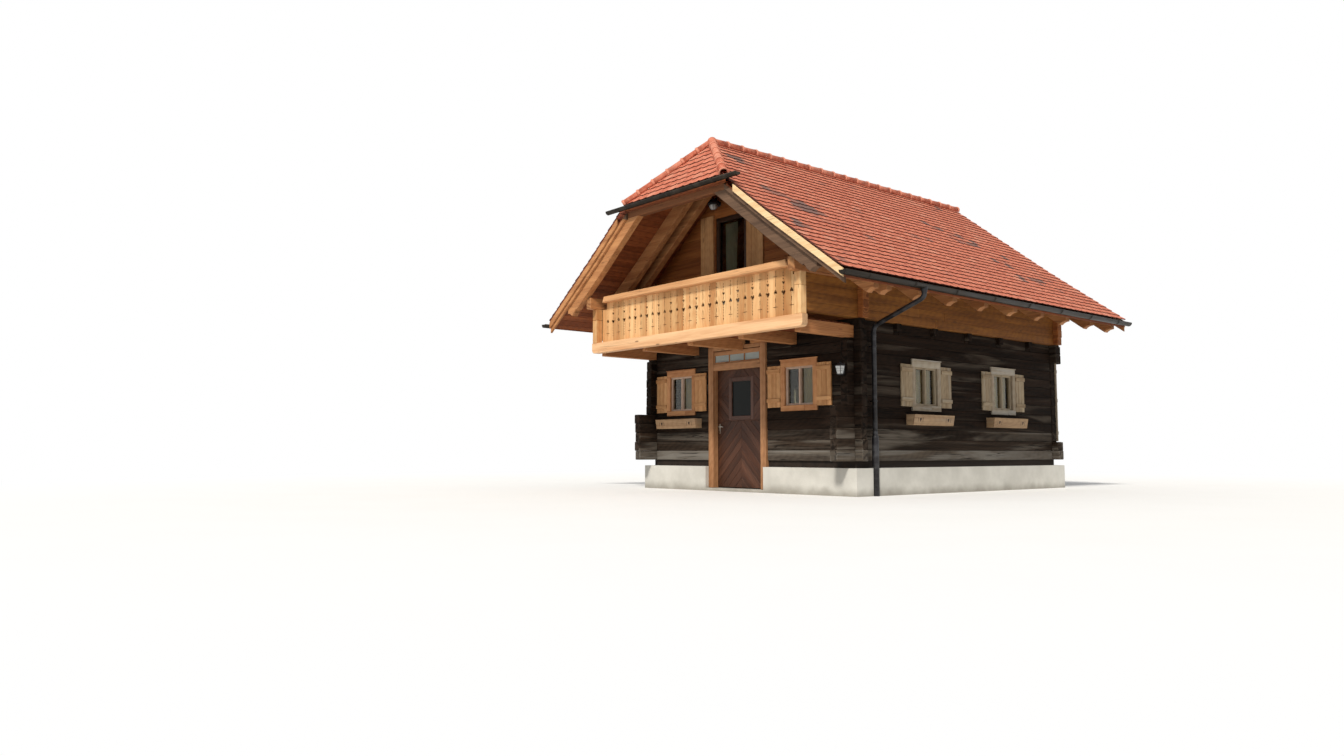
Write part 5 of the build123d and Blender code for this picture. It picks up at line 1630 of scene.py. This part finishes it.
# Door handles on both faces
HANDLE_X = -0.625
ROSE = (0.02, 0.085)
ROSE_CORNER = 0.012
ROSE_Z = 1.0195
ROSE_THICK = 0.008
KEYHOLE = 0.0035
LEVER_Z = 1.052
LEVER_OUT = 0.047
LEVER_END = 0.121
handles = Piece()
for face, out in ((LEAF_Y[0], -1), (LEAF_Y[1], 1)):
    outline = []
    for cx, cz, start in ((1, -1, -90), (1, 1, 0), (-1, 1, 90), (-1, -1, 180)):
        centre = (cx * (ROSE[0] - ROSE_CORNER), cz * (ROSE[1] - ROSE_CORNER))
        outline += arc(centre, ROSE_CORNER, start, start + 90, 5)
    plate(handles, outline, ROSE_THICK, (HANDLE_X, face, ROSE_Z), (-out, 0, 0), (0, 0, 1), bevel=0.0015)
    y = face + out * ROSE_THICK
    lever_y = face + out * LEVER_OUT
    collar = [(0, 0.0), (0, 0.015), (0.006, 0.015), (0.008, 0.012), (0.008, 0.0)]
    turned(handles, collar, (HANDLE_X, y, LEVER_Z), (0, out, 0), steps=20)
    lever = [(HANDLE_X, y, LEVER_Z), (HANDLE_X, lever_y, LEVER_Z),
             (HANDLE_X + LEVER_END - 0.03, lever_y, LEVER_Z),
             (HANDLE_X + LEVER_END, lever_y, LEVER_Z - 0.006)]
    tube(handles, rounded(lever, 0.018), 0.0085, 14)
    keyhole = arc((0, 0), KEYHOLE, -60, 240, 10) + [(-0.0024, -0.012), (0.0024, -0.012)]
    plate(handles, keyhole, 0.0004, (HANDLE_X, y, ROSE_Z - 0.035), (-out, 0, 0), (0, 0, 1), slot=1)
handles.build("door_handles", ("door_handle",), "handle_metal", HANDLE, PIPE, body="front_door")

# Lantern on the log ends and globe lamp under the half-hip
LAMP_X = 2.23
LAMP_Y = FRONT - 0.235
LAMP_LOW = 1.73
LAMP_HIGH = 1.92
GLOBE = Vector((-0.525, FRONT - 0.14, 4.765))
GLOBE_HOOD = 0.1
GLOBE_R = 0.066
ARM_Z = GLOBE.z + 0.03
lamps = Piece()


def tapered(levels, slot=0):
    """A four-sided body of the lantern from (height over its foot, half width) levels."""
    points = [Vector((LAMP_X + cx * half, LAMP_Y + cy * half, LAMP_LOW + z)) for z, half in levels
              for cx, cy in CORNERS]
    faces = lids(len(levels), 4) + grid(len(levels), 4)
    lamps.add(points, faces, slot=slot)


tapered([(0, 0.024), (0.008, 0.032), (0.016, 0.034)])
tapered([(0.016, 0.029), (0.128, 0.047)], 1)
tapered([(0.128, 0.052), (0.134, 0.055), (0.16, 0.03), (0.174, 0.012), (0.178, 0.006)])
turned(lamps, [(0, 0.0), (0.003, 0.008), (0.008, 0.009), (0.012, 0.0)], (LAMP_X, LAMP_Y, LAMP_HIGH - 0.012),
       steps=12)
for cx, cy in CORNERS:
    tube(lamps, [(LAMP_X + cx * half, LAMP_Y + cy * half, LAMP_LOW + z)
                 for half, z in ((0.031, 0.012), (0.049, 0.132))], 0.0042, 8)
for k in (0.36, 0.68):
    half = 0.03 + 0.018 * k + 0.0006
    z = LAMP_LOW + 0.016 + 0.112 * k
    ring = [(LAMP_X + cx * half, LAMP_Y + cy * half, z) for cx, cy in CORNERS]
    for start, stop in zip(ring, ring[1:] + ring[:1]):
        tube(lamps, [start, stop], 0.0016, 6)
beam(lamps, about(LAMP_X, 0.028), (FRONT - 0.172, FRONT - 0.16), (LAMP_LOW + 0.02, LAMP_HIGH - 0.02), "z",
     bevel=0.003)
tube(lamps, rounded([(LAMP_X, FRONT - 0.17, LAMP_LOW + 0.03), (LAMP_X, LAMP_Y + 0.01, LAMP_LOW + 0.012),
                     (LAMP_X, LAMP_Y, LAMP_LOW + 0.006)], 0.02), 0.006, 10)
hood = [(-0.014, 0.0), (-0.012, GLOBE_R), (0.0, GLOBE_HOOD - 0.002), (0.006, GLOBE_HOOD), (0.012, 0.098),
        (0.05, 0.083), (0.078, 0.058), (0.094, 0.028), (GLOBE_HOOD, 0.0)]
turned(lamps, hood, GLOBE, steps=28)
angles = [math.pi * k / 16 for k in range(15)]
bowl = [(-0.026 - GLOBE_R * math.cos(a), GLOBE_R * math.sin(a)) for a in angles]
turned(lamps, bowl, GLOBE, steps=28, slot=1)
for k in range(4):
    angle = math.radians(45 + 90 * k)
    cage = []
    for j in range(9):
        lean = math.radians(-4 - 80 * j / 8)
        reach = 0.078 * math.cos(lean)
        cage.append(GLOBE + Vector((math.cos(angle) * reach, math.sin(angle) * reach,
                                    -0.01 + 0.086 * math.sin(lean))))
    tube(lamps, cage, 0.003, 8)
rose = [(0.0, 0.0), (0.0, 0.045), (0.012, 0.045), (0.018, 0.038), (0.018, 0.0)]
turned(lamps, rose, (GLOBE.x, FRONT, ARM_Z), (0, -1, 0), steps=20)
tube(lamps, [(GLOBE.x, FRONT - 0.012, ARM_Z), (GLOBE.x, FRONT - 0.08, ARM_Z)], 0.014, 12)
lamps.build("wall_lamps", ("lamps",), "lamp_glass", PIPE, OPAL)

# Pale boards at the back corner
BATTEN = 0.015
low, high = corner_low, corner_high
middle = (low.x + high.x) / 2
corner = Piece()
for x0, x1 in ((low.x, middle - 0.001), (middle + 0.001, high.x)):
    beam(corner, (x0, x1), (low.y, high.y - BATTEN), (low.z, high.z), "z", bevel=0.003)
for z in (low.z + 0.12, (low.z + high.z) / 2, high.z - 0.18):
    beam(corner, (low.x, high.x), (high.y - BATTEN, high.y), (z, z + 0.06), "x", bevel=0.003)
corner.build("corner_boards", ("corner_board",), "warm_timber", PALE_CASING)


# Studio
FLOOR_HALF = 60
floor_mesh = bpy.data.meshes.new("floor")
floor_mesh.from_pydata([(x * FLOOR_HALF, y * FLOOR_HALF, 0) for x, y in CORNERS], [], [(0, 1, 2, 3)])
floor = placed("floor", floor_mesh)
floor.location.z = cad_box[0][2] - 0.001
s = material("pale_floor")
place = s.place()
distance = s.node("ShaderNodeVectorMath", place, operation="LENGTH")
far_away = s.span(distance.outputs["Value"], 7.0, 17.0)
s.surface(s.mix(s.noise(place, 0.8, 2), srgb((236, 235, 232)), srgb((240, 239, 237))), 0.9)
glow = s.node("ShaderNodeEmission", (1, 1, 1))
mask = s.maths("MULTIPLY", far_away, s.seen_by("Camera", "Glossy"))
s.output(mask, s.bsdf.outputs[0], glow.outputs[0], "Material Output")
floor_mesh.materials.append(s.owner)

world = bpy.data.worlds.new("studio")
bpy.context.scene.world = world
s = Shader(world)
sky = s.tree.nodes["Background"]
s.fill(sky, Color=(0.92, 0.96, 1.0), Strength=0.46)
white = s.node("ShaderNodeBackground", (1, 1, 1), 1.0)
s.output(s.seen_by("Camera", "Glossy", "Transmission"), sky.outputs[0], white.outputs[0], "World Output")

sun_data = bpy.data.lights.new("key", "SUN")
sun_data.energy = 3.35
sun_data.angle = math.radians(9)
sun_data.color = (1.0, 0.96, 0.9)
sun = placed("key", sun_data)
sun.rotation_euler = Vector((-1, 1.73, -2.0)).to_track_quat("-Z", "Y").to_euler()

bpy.context.scene.view_settings.view_transform = "Standard"

# Materials on the CAD nodes that stay
keep = {"foundation": STONE, "ground_floor": STONE, "plinth": PLINTH_WOOD, "upper_floor": FLOOR_WOOD,
        "door_window": DOOR_GLASS, "door_hinge_pins": METAL}
for name, given in keep.items():
    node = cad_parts[name]
    node.data.materials.clear()
    node.data.materials.append(given)

low, high = cad_box
